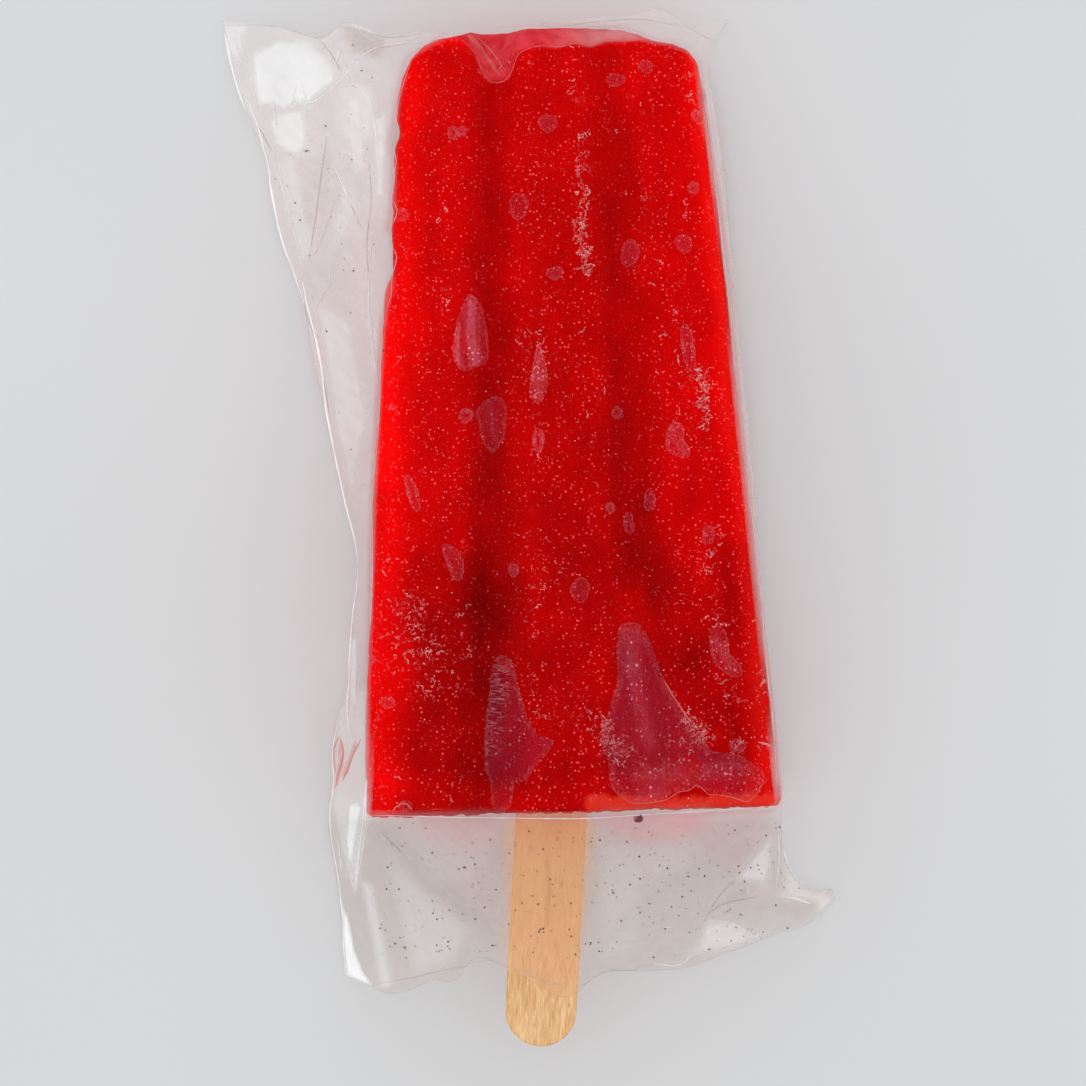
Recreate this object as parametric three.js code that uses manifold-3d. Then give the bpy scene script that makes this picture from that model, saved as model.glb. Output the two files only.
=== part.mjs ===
// A red ice pop on a flat wooden stick, in the clear film bag that it is sold in, lying on its back.
// Three bodies: the moulded ice with a slot for the stick, the stick, and the bag, which is shut across
// the tip, hugs the ice, stands off to the left as a flap, and opens round the bare end of the stick.
// Units are millimetres. In the pop's own frame +Y runs from the flat end of the ice to its tip,
// +X to the right seen from above, +Z up, with Y = 0 at the flat end and Z = 0 on the ground.
import * as THREE from "three";
import { mergeVertices } from "three/addons/utils/BufferGeometryUtils.js";
import Module from "manifold-3d";

const wasm = await Module();
wasm.setup();

// ---- The moulded ice ----
const ICE_LENGTH = 105.7;
const BASE_HALF_WIDTH = 27.9;
const TIP_HALF_WIDTH = 19.8;
const BASE_THICKNESS = 21.6;
const TIP_THICKNESS = 15.6;
const CROWN = 0.5; // how much the ribs stand above the long edges
const SIDE_ROUND = 5; // radius of the long edges
const SIDE_ROUND_LIMIT = 0.48; // the most that it may be, as a share of the thickness
const TIP_CORNER = 9; // radius of the tip's two corners, seen from above
const TIP_ROUND = 6; // radius of the tip, seen from the side
const BASE_ROUND = 0.7; // broken edge of the flat end
const FLUTE_PLACE = 0.47; // the flutes' distance from the middle, as a share of the flat of the face
const FLUTE_REACH = 0.27; // half a flute's width, as the same share
const FLUTE_DEPTH = 2.2;

// ---- The wooden stick ----
const STICK_LENGTH = 114;
const STICK_WIDTH = 9.6;
const STICK_THICKNESS = 2;
const STICK_EDGE = 0.3; // rounding of its sawn edges
const STICK_BARE = 31.4; // how much of it stands out of the ice
const STICK_PLACE = -2.8; // where its middle leaves the flat end
const STICK_LEAN = 4.8; // degrees that its bare end leans to the left

// ---- The film bag ----
const FILM = 0.35; // wall
const GAP = 0.3; // clearance between pieces that touch
const REST = FILM + GAP; // height of the ice's lower face
const SEAL_AT = 107.8; // the shut end, just past the tip
const MOUTH_AT = -22.4; // the open end
const EDGE = 1.1; // height of the folded side edges and of the seal
const EDGE_FOLD = 0.6; // width of the film's fold along a side edge
const LEAST_SLOPE = 0.02; // least width of the film's slope outside the hump
const MOUTH_RISE = 9.1; // how far the mouth climbs towards its right-hand corner
const MOUTH_RISE_FROM = 5;
const SEAL_RISE = 1.5; // how far the seal climbs towards its left-hand corner
const SEAL_RISE_FROM = -20;
const MOUTH_TOP = 16.2; // height of the bag over the stick at the mouth
const MOUTH_HALF_WIDTH = 6.5; // half the width of that top
const MOUTH_ROUND = 3;
const MOUTH_FALL = 1.5; // power of the curve by which the bag falls from the ice to the mouth
const FLUTES_FADE = 0.5; // share of the way to the mouth in which the flutes fade out of the film
const SEAL_ROUND_LIMIT = 0.4; // the most that the bag's rounding may be near the seal, as a share of its height
const LAY = 1.6; // degrees that the pop lies turned from the frame's own axes

// Where the side edges of the bag lie, as [Y, distance from the pop's axis] pairs from the mouth to the seal.
const LEFT_EDGE = [
  [-22.4, 31.6],
  [-8, 32.7],
  [0, 33.4],
  [11, 32.3],
  [17, 30.2],
  [34, 28.4],
  [48, 31.1],
  [70, 34.7],
  [84, 38.7],
  [96, 41.6],
  [107.8, 45],
];
const RIGHT_EDGE = [
  [-22.4, 35.7],
  [-20, 35.3],
  [-16, 32.7],
  [-11, 30.1],
  [-7.5, 28.5],
  [0, 28.6],
  [56, 25.2],
  [82, 23.4],
  [96, 22],
  [104, 21.7],
  [107.8, 24.4],
];

const { lerp, clamp, smoothstep, degToRad } = THREE.MathUtils;

// ---- Sections ----

// How far a rounded end of the given radius has drawn in, at a distance from that end.
function drawnIn(radius, fromEnd) {
  if (fromEnd >= radius) {
    return 0;
  }
  const run = radius - Math.max(fromEnd, 0);
  return radius - Math.sqrt(radius * radius - run * run);
}

// The value at y on a line through [y, value] pairs.
function alongEdge(edge, y) {
  const next = clamp(
    edge.findIndex(([at]) => at > y),
    1,
    edge.length - 1,
  );
  const [[y0, x0], [y1, x1]] = [edge[next - 1], edge[next]];
  return lerp(x0, x1, clamp((y - y0) / (y1 - y0), 0, 1));
}

// The ice's section at y, grown by a clearance on every side.
function iceSection(y, clear) {
  const along = clamp(y / ICE_LENGTH, 0, 1);
  const fromTip = ICE_LENGTH - y + clear;
  const plainHalf = lerp(BASE_HALF_WIDTH, TIP_HALF_WIDTH, along);
  const plainThickness = lerp(BASE_THICKNESS, TIP_THICKNESS, along);
  const rounded = drawnIn(TIP_ROUND + clear, fromTip);
  const thickness = plainThickness + 2 * (clear - rounded);
  const half = plainHalf + clear - drawnIn(TIP_CORNER + clear, fromTip);
  return {
    middle: 0,
    half,
    top: REST + plainThickness + clear - rounded,
    bottom: REST - clear + rounded,
    round: Math.min(SIDE_ROUND + clear, SIDE_ROUND_LIMIT * thickness),
    flat: plainHalf - SIDE_ROUND,
    relief: clamp(thickness / plainThickness, 0, 1),
  };
}

// How far the fluted face lies above the long edges, at a distance x from the section's middle.
function faceHeight(section, x) {
  const across = Math.abs(x) / section.flat;
  const fromFlute = clamp(Math.abs(across - FLUTE_PLACE) / FLUTE_REACH, 0, 1);
  const flute = 0.5 + 0.5 * Math.cos(Math.PI * fromFlute);
  const crown = Math.max(0, 1 - across * across);
  return section.relief * (CROWN * crown - FLUTE_DEPTH * flute);
}

// Places across the flat of a face, from the right-hand edge to the left, closest together over the flutes.
const RIB_PLACES = [0.1, 0.87, 1];
const FLUTE_STEPS = 3;
function placesAcross() {
  const right = [...RIB_PLACES];
  for (let step = -FLUTE_STEPS; step <= FLUTE_STEPS; step += 1) {
    right.push(FLUTE_PLACE + (step * FLUTE_REACH) / FLUTE_STEPS);
  }
  right.sort((a, b) => b - a);
  return [...right, 0, ...right.toReversed().map((place) => -place)];
}
const ACROSS = placesAcross();

const CORNER_STEPS = 4;

// Points round a corner of a section, between two angles.
function corner(x, z, radius, from, to) {
  const points = [];
  for (let step = 0; step <= CORNER_STEPS; step += 1) {
    const angle = lerp(from, to, step / CORNER_STEPS);
    points.push([x + radius * Math.cos(angle), z + radius * Math.sin(angle)]);
  }
  return points;
}

// The ice's outline at y, counter-clockwise from its lower right-hand corner. Both faces are fluted, and
// only the upper one is crowned, so that the pop lies flat.
function iceRing(y, inset) {
  const section = iceSection(y, 0);
  const { round } = section;
  const half = section.half - inset;
  const top = section.top - inset;
  const bottom = section.bottom + inset;
  const reach = half - round;
  const upper = [
    ...corner(reach, top - round, round, 0, Math.PI / 2).slice(0, -1),
    ...ACROSS.map((place) => [reach * place, top]),
    ...corner(-reach, top - round, round, Math.PI / 2, Math.PI).slice(1),
  ];
  const lower = [
    ...corner(-reach, bottom + round, round, Math.PI, 1.5 * Math.PI).slice(0, -1),
    ...ACROSS.toReversed().map((place) => [reach * place, bottom]),
    ...corner(reach, bottom + round, round, 1.5 * Math.PI, 2 * Math.PI).slice(1),
  ];
  return [
    ...upper.map(([x, z]) => new THREE.Vector3(x, y, z + faceHeight(section, x))),
    ...lower.map(([x, z]) => new THREE.Vector3(x, y, z - Math.min(faceHeight(section, x), 0))),
  ];
}

// The angle, seen from a circle's centre, at which a straight line from a point outside touches the circle.
function touchAngle(px, pz, x, z, radius) {
  const distance = Math.hypot(px - x, pz - z);
  return Math.atan2(pz - z, px - x) + Math.acos(Math.min(1, radius / distance));
}

// The hump that the bag is drawn over at y: the ice, the slope down past its tip, or the fall to the stick.
function humpSection(y, clear, sealAt, sealTop) {
  if (y < 0) {
    const toMouth = clamp(y / MOUTH_AT, 0, 1);
    const fall = 1 - (1 - toMouth) ** MOUTH_FALL;
    const base = iceSection(0, clear);
    const stickAt = STICK_PLACE + Math.sin(degToRad(STICK_LEAN)) * y;
    return {
      ...base,
      middle: lerp(0, stickAt, fall),
      half: lerp(base.half, MOUTH_HALF_WIDTH + clear, fall),
      top: lerp(base.top, MOUTH_TOP + clear, fall),
      round: lerp(base.round, MOUTH_ROUND + clear, fall),
      relief: 1 - smoothstep(toMouth, 0, FLUTES_FADE),
    };
  }
  const section = iceSection(Math.min(y, ICE_LENGTH + clear), clear);
  const radius = TIP_ROUND + clear;
  const centreY = ICE_LENGTH - TIP_ROUND;
  const centreZ = REST + TIP_THICKNESS - TIP_ROUND;
  const touch = touchAngle(sealAt, sealTop, centreY, centreZ, radius);
  const touchY = centreY + radius * Math.cos(touch);
  const touchZ = centreZ + radius * Math.sin(touch);
  if (y > touchY) {
    const down = clamp((y - touchY) / (sealAt - touchY), 0, 1);
    const top = lerp(touchZ, sealTop, down);
    return {
      ...section,
      top,
      round: Math.min(section.round, SEAL_ROUND_LIMIT * top),
      relief: section.relief * (1 - down),
    };
  }
  return section;
}

const SLOPE_STEPS = 2; // points along the straight film between a side edge and the hump

// The bag's outline at y, counter-clockwise from its lower right-hand edge. The lining is 0 for the
// outside and the film's thickness for the inside.
function bagRing(y, lining) {
  const inside = lining > 0;
  const fold = inside ? EDGE_FOLD : 0;
  const edgeTop = EDGE - lining;
  const clear = REST - lining;
  const hump = humpSection(y, clear, SEAL_AT - fold, edgeTop);
  const { round, middle, top } = hump;
  const reach = hump.half - round;
  const side = (edge, sign) => {
    const distance = alongEdge(edge, y) - fold;
    return Math.max(distance, sign * middle + hump.half + LEAST_SLOPE);
  };
  const right = side(RIGHT_EDGE, 1);
  const left = side(LEFT_EDGE, -1);
  const slope = (edge, centre) => {
    const angle = touchAngle(edge, edgeTop, centre, top - round, round);
    return corner(0, top - round, round, angle, Math.PI / 2);
  };
  const overSide = (edge, sign) => {
    const arc = slope(edge, sign * middle + reach);
    const [startX, startZ] = arc[0];
    const points = [];
    for (let step = 0; step <= SLOPE_STEPS; step += 1) {
      const share = step / (SLOPE_STEPS + 1);
      const x = lerp(edge, sign * middle + reach + startX, share);
      points.push([sign * x, lerp(edgeTop, startZ, share)]);
    }
    arc.forEach(([x, z]) => points.push([middle + sign * (reach + x), z]));
    return points;
  };
  const over = [
    ...overSide(right, 1).slice(0, -1),
    ...ACROSS.map((place) => [middle + reach * place, top]),
    ...overSide(left, -1).toReversed().slice(1),
  ];
  const under = [
    [-left, lining],
    [-0.5 * left, lining],
    [0, lining],
    [0.5 * right, lining],
    [right, lining],
  ];
  const bowed = (x, z) => {
    const toMouth = Math.max(0, y / MOUTH_AT);
    const toSeal = smoothstep(y, ICE_LENGTH - 2 * TIP_CORNER, SEAL_AT);
    const mouthSide = Math.max(0, x - MOUTH_RISE_FROM) / (RIGHT_EDGE[0][1] - MOUTH_RISE_FROM);
    const sealSide = Math.max(0, SEAL_RISE_FROM - x) / (LEFT_EDGE.at(-1)[1] + SEAL_RISE_FROM);
    const shift = MOUTH_RISE * toMouth * mouthSide ** 2 + SEAL_RISE * toSeal * sealSide ** 2;
    return new THREE.Vector3(x, y + shift, z);
  };
  return [
    ...over.map(([x, z]) => bowed(x, z + faceHeight(hump, x - middle))),
    ...under.map(([x, z]) => bowed(x, z)),
  ];
}

// ---- Solids ----

const WELD = 1e-4; // points closer together than this are one

// A closed geometry through rings of equal count, with a fan over each end.
function loft(rings) {
  const count = rings[0].length;
  const centreOf = (ring) =>
    ring.reduce((sum, p) => sum.add(p), new THREE.Vector3()).divideScalar(count);
  const points = [...rings.flat(), centreOf(rings[0]), centreOf(rings.at(-1))];
  const first = rings.length * count;
  const last = first + 1;
  const index = [];
  for (let i = 0; i < count; i += 1) {
    const j = (i + 1) % count;
    index.push(first, i, j);
    index.push(last, (rings.length - 1) * count + j, (rings.length - 1) * count + i);
    for (let ring = 0; ring + 1 < rings.length; ring += 1) {
      const here = ring * count;
      const next = here + count;
      index.push(here + i, next + i, here + j);
      index.push(here + j, next + i, next + j);
    }
  }
  const geometry = new THREE.BufferGeometry().setFromPoints(points);
  geometry.setIndex(index);
  return geometry;
}

function solidOf(geometry) {
  const bare = new THREE.BufferGeometry();
  bare.setAttribute("position", geometry.getAttribute("position"));
  bare.setIndex(geometry.index);
  const merged = mergeVertices(bare, WELD);
  const mesh = new wasm.Mesh({
    numProp: 3,
    vertProperties: new Float32Array(merged.getAttribute("position").array),
    triVerts: new Uint32Array(merged.index.array),
  });
  return new wasm.Manifold(mesh);
}

function geometryOf(solid) {
  const { vertProperties, triVerts } = solid.getMesh();
  const geometry = new THREE.BufferGeometry();
  geometry.setAttribute("position", new THREE.BufferAttribute(vertProperties, 3));
  geometry.setIndex(new THREE.BufferAttribute(triVerts, 1));
  geometry.computeVertexNormals();
  return geometry;
}

// Places from one to another, about a step apart.
function stations(from, to, step) {
  const count = Math.max(1, Math.round(Math.abs(to - from) / step));
  return Array.from({ length: count }, (_, i) => lerp(from, to, i / count));
}

const STATION_STEP = 4.4;
const MOUTH_STATION_STEP = 2.4;
const CORNER_STATIONS = [1, 0.7].map((share) => ICE_LENGTH - share * TIP_CORNER);
const SEAL_STATIONS = [0.3, 0.65]; // as shares of the way from the tip to the seal
const LINING_OVERRUN = 2; // how far the bag's inside runs past the mouth, so that it comes out open
const TIP_ANGLES = [75, 60, 45, 30, 15, 4];

// Places round the tip's rounding, seen from the side.
function tipStations(radius, reach) {
  return TIP_ANGLES.map((angle) => reach - radius * (1 - Math.cos(degToRad(angle))));
}

function stickGeometry(grow) {
  const half = 0.5 * STICK_WIDTH + grow;
  const straight = 0.5 * (STICK_LENGTH - STICK_WIDTH);
  const outline = new THREE.Shape();
  outline.absarc(0, straight, half - STICK_EDGE, 0, Math.PI);
  outline.absarc(0, -straight, half - STICK_EDGE, Math.PI, 2 * Math.PI);
  outline.closePath();
  const thickness = STICK_THICKNESS + 2 * grow;
  const geometry = new THREE.ExtrudeGeometry(outline, {
    depth: thickness - 2 * STICK_EDGE,
    curveSegments: 12,
    bevelThickness: STICK_EDGE,
    bevelSize: STICK_EDGE,
    bevelSegments: 2,
  });
  geometry.translate(0, 0, -0.5 * thickness + STICK_EDGE);
  geometry.deleteAttribute("normal");
  geometry.deleteAttribute("uv");
  return mergeVertices(geometry, WELD);
}

// From the stick's own frame, centred on it, to the pop's.
function stickPlacement() {
  const rise = (BASE_THICKNESS - TIP_THICKNESS) / (2 * ICE_LENGTH);
  const direction = new THREE.Vector3(Math.sin(degToRad(STICK_LEAN)), 1, -rise).normalize();
  const exit = new THREE.Vector3(STICK_PLACE, 0, REST + 0.5 * BASE_THICKNESS);
  const centre = exit.addScaledVector(direction, 0.5 * STICK_LENGTH - STICK_BARE);
  const side = new THREE.Vector3(0, 0, 1).cross(direction).negate().normalize();
  const up = side.clone().cross(direction);
  return new THREE.Matrix4().makeBasis(side, direction, up).setPosition(centre);
}

function iceGeometry() {
  const rings = [
    iceRing(0, BASE_ROUND),
    iceRing(BASE_ROUND, 0),
    ...[
      ...stations(SIDE_ROUND, ICE_LENGTH - TIP_CORNER, STATION_STEP),
      ...CORNER_STATIONS,
      ...tipStations(TIP_ROUND, ICE_LENGTH),
      ICE_LENGTH,
    ].map((y) => iceRing(y, 0)),
  ];
  const slot = stickGeometry(GAP).applyMatrix4(stickPlacement());
  return geometryOf(solidOf(loft(rings)).subtract(solidOf(slot)));
}

function bagShell(lining) {
  const clear = REST - lining;
  const sealAt = SEAL_AT - (lining > 0 ? EDGE_FOLD : 0);
  const mouthAt = MOUTH_AT - (lining > 0 ? LINING_OVERRUN : 0);
  const tip = tipStations(TIP_ROUND + clear, ICE_LENGTH + clear);
  return loft(
    [
      mouthAt,
      ...stations(MOUTH_AT + 1, 0, MOUTH_STATION_STEP),
      ...stations(0, ICE_LENGTH - TIP_CORNER, STATION_STEP),
      ...CORNER_STATIONS,
      ...tip,
      ...SEAL_STATIONS.map((share) => lerp(tip.at(-1), sealAt, share)),
      sealAt,
    ].map((y) => bagRing(y, lining)),
  );
}

function bagGeometry() {
  return geometryOf(solidOf(bagShell(0)).subtract(solidOf(bagShell(FILM))));
}

// ---- Pieces ----

function piece(name, geometry, look) {
  const mesh = new THREE.Mesh(geometry, new THREE.MeshStandardMaterial(look));
  mesh.name = name;
  return mesh;
}

const ice = piece("ice_body", iceGeometry(), { color: 0xd20a08, roughness: 0.25, metalness: 0 });

const stick = piece("stick", stickGeometry(0), { color: 0xe8bd8a, roughness: 0.7, metalness: 0 });
stick.applyMatrix4(stickPlacement());

const bag = piece("film_bag", bagGeometry(), {
  color: 0xe6e2e0,
  roughness: 0.15,
  metalness: 0,
  transparent: true,
  opacity: 0.35,
});

const pop = new THREE.Group();
pop.add(ice, stick, bag);
pop.rotation.z = degToRad(LAY);

// The whole pop stands with the middle of its box's floor at the origin.
const box = new THREE.Box3().setFromObject(pop, true);
const centre = box.getCenter(new THREE.Vector3());
pop.position.set(-centre.x, -centre.y, -box.min.z);

export default pop;
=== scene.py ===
import math
import random

import bpy
import numpy as np
from mathutils import Matrix, Vector, noise
from mathutils.bvhtree import BVHTree


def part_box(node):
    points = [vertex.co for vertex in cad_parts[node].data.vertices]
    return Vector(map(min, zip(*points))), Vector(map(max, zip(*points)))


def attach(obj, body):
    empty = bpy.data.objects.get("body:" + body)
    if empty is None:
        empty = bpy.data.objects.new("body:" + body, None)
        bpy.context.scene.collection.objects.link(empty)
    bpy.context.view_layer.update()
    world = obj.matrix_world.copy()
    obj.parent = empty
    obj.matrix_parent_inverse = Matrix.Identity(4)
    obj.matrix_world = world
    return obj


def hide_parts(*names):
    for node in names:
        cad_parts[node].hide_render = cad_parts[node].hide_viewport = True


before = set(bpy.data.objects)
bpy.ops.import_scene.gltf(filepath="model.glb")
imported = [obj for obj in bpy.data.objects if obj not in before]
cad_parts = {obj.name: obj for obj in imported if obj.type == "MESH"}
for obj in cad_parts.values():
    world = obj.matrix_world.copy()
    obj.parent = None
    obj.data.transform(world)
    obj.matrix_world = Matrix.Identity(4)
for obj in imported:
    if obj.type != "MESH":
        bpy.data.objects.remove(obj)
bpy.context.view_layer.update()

MM = 0.001

# ---- The moulded ice ----
ICE_LENGTH = 105.7 * MM
BASE_HALF_WIDTH = 27.9 * MM
TIP_HALF_WIDTH = 19.8 * MM
BASE_THICKNESS = 21.6 * MM
TIP_THICKNESS = 15.6 * MM
CROWN = 0.5 * MM
SIDE_ROUND = 5 * MM
TIP_CORNER = 9 * MM
TIP_ROUND = 6 * MM
BASE_ROUND = 0.7 * MM
LIGHT_THROUGH_ICE = 0.3  # share of the light that the ice lets through to the ground
FLUTE_PLACE = 0.47  # distance from the middle, as a share of the flat of the face
FLUTE_REACH = 0.27  # half a flute's width, as the same share
FLUTE_DEPTH = 2.2 * MM
ICE_GRAIN = 0.48 * MM  # spacing of the ice's surface points

# ---- The stick ----
STICK_LENGTH = 114 * MM
STICK_WIDTH = 9.6 * MM
STICK_THICKNESS = 2 * MM
STICK_BARE = 31.4 * MM
STICK_PLACE = -2.8 * MM
STICK_LEAN = math.radians(4.8)
STICK_ROUND = 0.32 * MM
STICK_GRAIN = 0.24 * MM  # spacing of the stick's surface points

# ---- The bag ----
FILM = 0.06 * MM
CLING = 0.34 * MM  # the film's height above the ice that it clings to
REST = 0.65 * MM  # height of the ice's lower face
FACE_LEVEL = REST + 19 * MM  # about how high the ice's upper face lies
UPPER_SIDE = 9 * MM  # what lies higher than this is on the ice's upper side
ABOVE_ALL = 50 * MM  # a height over everything, to look down from
NEAR = 0.01 * MM  # places closer than this count as the same
SEAL_AT = 107.8 * MM  # v of the bag's shut end
MOUTH_AT = -22.4 * MM  # v of its open end
EDGE = 1.1 * MM  # height of the bag's side edges

LAY = math.radians(1.6)  # the pop lies turned this much in the frame
ICE_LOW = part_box("ice_body")[0]
BASE = Vector((
    ICE_LOW.x + BASE_HALF_WIDTH * math.cos(LAY),
    ICE_LOW.y + (BASE_HALF_WIDTH - BASE_ROUND) * math.sin(LAY),
    0,
))
PLACE = Matrix.Translation(BASE) @ Matrix.Rotation(LAY, 4, "Z")

# ---- The camera, straight above, and what it sees ----
CAMERA_AT = Vector((1.93, -2.43, 600)) * MM
VIEW_WIDTH = 149.1 * MM
FRAME_POINTS = 1086  # the camera's frame is this many points wide and high


# ---- Small tools ----

def seen(x, y, height):
    """The place in the pop's frame, at a height, where the camera sees the point x, y of its frame."""
    step = VIEW_WIDTH / FRAME_POINTS * (1 - height / CAMERA_AT.z)
    centre = FRAME_POINTS / 2
    at = Vector((CAMERA_AT.x + (x - centre) * step, CAMERA_AT.y + (centre - y) * step, height))
    return PLACE.inverted() @ at


def frame_points(points):
    """Where the camera sees points of the pop's frame, as x and y in points of the camera's frame."""
    turn = np.array(PLACE.to_3x3())
    placed = points @ turn.T + np.array(PLACE.translation)
    step = VIEW_WIDTH / FRAME_POINTS * (1 - placed[:, 2] / CAMERA_AT.z)
    centre = FRAME_POINTS / 2
    return centre + (placed[:, 0] - CAMERA_AT.x) / step, centre - (placed[:, 1] - CAMERA_AT.y) / step


def off_line(x, y, corners):
    """Distance from each point to the nearest place of an open line."""
    far = np.full(np.shape(x), 1e9)
    for (ax, ay), (bx, by) in zip(corners, corners[1:]):
        length = (bx - ax) ** 2 + (by - ay) ** 2
        run = np.clip(((x - ax) * (bx - ax) + (y - ay) * (by - ay)) / length, 0, 1)
        far = np.minimum(far, np.hypot(x - ax - run * (bx - ax), y - ay - run * (by - ay)))
    return far


def inside(x, y, outline, soft):
    """1 inside a closed outline and 0 outside it, with a soft edge that reaches as far as soft each way."""
    odd = np.zeros(np.shape(x), bool)
    for (ax, ay), (bx, by) in zip(outline, outline[1:] + outline[:1]):
        if ay != by:
            odd ^= ((ay > y) != (by > y)) & (x < ax + (y - ay) * (bx - ax) / (by - ay))
    far = off_line(x, y, outline + outline[:1])
    return smooth(np.where(odd, far, -far), -soft, soft)


def linear(red, green, blue):
    """A screen colour, 0 to 255, as Blender's linear colour."""
    def one(value):
        share = value / 255
        return share / 12.92 if share <= 0.04045 else ((share + 0.055) / 1.055) ** 2.4
    return (one(red), one(green), one(blue), 1)


def smooth(value, low, high):
    """0 below low, 1 above high, and an even rise between. low may be the larger."""
    share = np.clip((value - low) / (high - low), 0, 1)
    return share * share * (3 - 2 * share)


def bump(value, centre, reach):
    """1 at the centre, falling evenly to 0 at the reach."""
    share = np.clip(np.abs(value - centre) / reach, 0, 1)
    return 0.5 + 0.5 * np.cos(np.pi * share)


def through(points, value):
    """A smooth line through [place, height] points, at a value or an array of them."""
    places = np.array([p[0] for p in points], float)
    heights = np.array([p[1] for p in points], float)
    slopes = np.gradient(heights, places)
    value = np.clip(value, places[0], places[-1])
    at = np.clip(np.searchsorted(places, value) - 1, 0, len(places) - 2)
    span = places[at + 1] - places[at]
    t = (value - places[at]) / span
    start = (1 + 2 * t) * (1 - t) ** 2 * heights[at] + t * (1 - t) ** 2 * span * slopes[at]
    end = t * t * (3 - 2 * t) * heights[at + 1] + t * t * (t - 1) * span * slopes[at + 1]
    return start + end


def deselect():
    bpy.ops.object.select_all(action="DESELECT")


def active():
    return bpy.context.view_layer.objects.active


def choose(obj):
    deselect()
    obj.select_set(True)
    bpy.context.view_layer.objects.active = obj
    return obj


def settle(obj):
    """Puts the object's place into its mesh."""
    choose(obj)
    bpy.ops.object.transform_apply(location=True, rotation=True, scale=True)
    return obj


def edit():
    bpy.ops.object.mode_set(mode="EDIT")


def done():
    bpy.ops.object.mode_set(mode="OBJECT")


def pick(obj, mode, test):
    """In edit mode, selects the vertices whose place passes the test, or the edges whose two ends do."""
    bpy.ops.mesh.select_mode(type=mode)
    bpy.ops.mesh.select_all(action="DESELECT")
    done()
    vertices = obj.data.vertices
    if mode == "VERT":
        for vertex in vertices:
            vertex.select = bool(test(vertex.co))
    else:
        for line in obj.data.edges:
            line.select = bool(test(*(vertices[i].co for i in line.vertices)))
    edit()


def modify(obj, kind, **settings):
    """Adds a modifier with its settings and applies it."""
    choose(obj)
    modifier = obj.modifiers.new(kind.lower(), kind)
    for name, value in settings.items():
        setattr(modifier, name, value)
    bpy.ops.object.modifier_apply(modifier=modifier.name)


def points_of(obj):
    flat = np.empty(len(obj.data.vertices) * 3)
    obj.data.vertices.foreach_get("co", flat)
    return flat.reshape(-1, 3)


def move_points(obj, points):
    obj.data.vertices.foreach_set("co", np.asarray(points, float).ravel())
    obj.data.update()


def paint(obj, name, values):
    """Keeps one number for each vertex, for a material to read. One value alone is kept for all of them."""
    attribute = obj.data.attributes.new(name, "FLOAT", "POINT")
    values = np.broadcast_to(np.asarray(values, np.float32), len(obj.data.vertices))
    attribute.data.foreach_set("value", np.ascontiguousarray(values))


def placed(name, data):
    """A new object of the scene."""
    obj = bpy.data.objects.new(name, data)
    bpy.context.scene.collection.objects.link(obj)
    return obj


def hand_over(obj, name, material, stands_for=None):
    """Turns a finished piece from the pop's own frame into the part's, names it and lets it ride."""
    obj.data.transform(PLACE)
    obj.name = obj.data.name = name
    obj.data.materials.clear()
    obj.data.materials.append(material)
    choose(obj)
    bpy.ops.object.shade_smooth()
    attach(obj, "root")
    if stands_for:
        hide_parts(stands_for)
    return obj


# ---- The ice's form ----

def half_width(v):
    return BASE_HALF_WIDTH + (TIP_HALF_WIDTH - BASE_HALF_WIDTH) * np.clip(v / ICE_LENGTH, 0, 1)


def thickness(v):
    return BASE_THICKNESS + (TIP_THICKNESS - BASE_THICKNESS) * np.clip(v / ICE_LENGTH, 0, 1)


def drawn_in(radius, from_end):
    """How far a rounded end has drawn in, at a distance from that end."""
    run = np.clip(radius - np.maximum(from_end, 0), 0, radius)
    return radius - np.sqrt(radius * radius - run * run)


def flute_share(u, v):
    """1 along the bottom of each flute and 0 on the ribs."""
    across = np.abs(u) / (half_width(v) - SIDE_ROUND)
    return bump(across, FLUTE_PLACE, FLUTE_REACH)


def face_height(u, v):
    """How far the fluted face lies above the ice's long edges."""
    across = np.abs(u) / (half_width(v) - SIDE_ROUND)
    return CROWN * np.maximum(0, 1 - across * across) - FLUTE_DEPTH * flute_share(u, v)


def lumps(points, size, seed=0):
    """Even noise at each point, about -1 to 1, with lumps of the given size."""
    shift = Vector((seed, 2 * seed, 3 * seed))
    return np.array([noise.noise(Vector(point) / size + shift) for point in points])


def flat(u, v):
    """Points on level ground, for noise that is drawn out across or along the pop."""
    return np.stack([u, v, 0 * u], 1)


# How far the left-hand side of the ice bulges past its mould line, as [v, bulge] points.
LEFT_BULGE = [
    [0, -0.3], [3, -0.2], [9, 0.3], [18, 0.5], [34, 0.5], [42, 0.9], [58, 0.75], [67, 0.8],
    [71, 0.65], [72.5, 0.05], [76, -0.05], [79, 0.3], [81, 0.15], [83.5, 0.45], [86, 0.15], [88, 0.4],
    [90.5, 0.25], [92, -0.15], [94, 0.35], [98, 0.3], [106, 0],
]
# Where the camera sees the ice end at its tip, from the left corner round to the right one.
TIP_LIMIT = [
    (398, 100), (403, 80), (411, 60), (424, 47), (440, 40), (452, 38), (464, 35), (478, 29), (560, 28.5),
    (600, 30), (621, 31), (640, 37), (655, 43), (672, 46), (687, 52), (696, 63), (699, 80), (702, 96),
    (705, 118),
]
FOOT_SHORT = 0.55 * MM  # how much of the flat end has thawed away
NOTCH_PLACE = -8.6 * MM  # where the left flute runs out at the tip
NOTCH_REACH = 3.6 * MM
NOTCH_DEPTH = 3.2 * MM
NOTCH_BACK = 0.7 * MM
TIP_WAVE = 0.35 * MM


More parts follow.
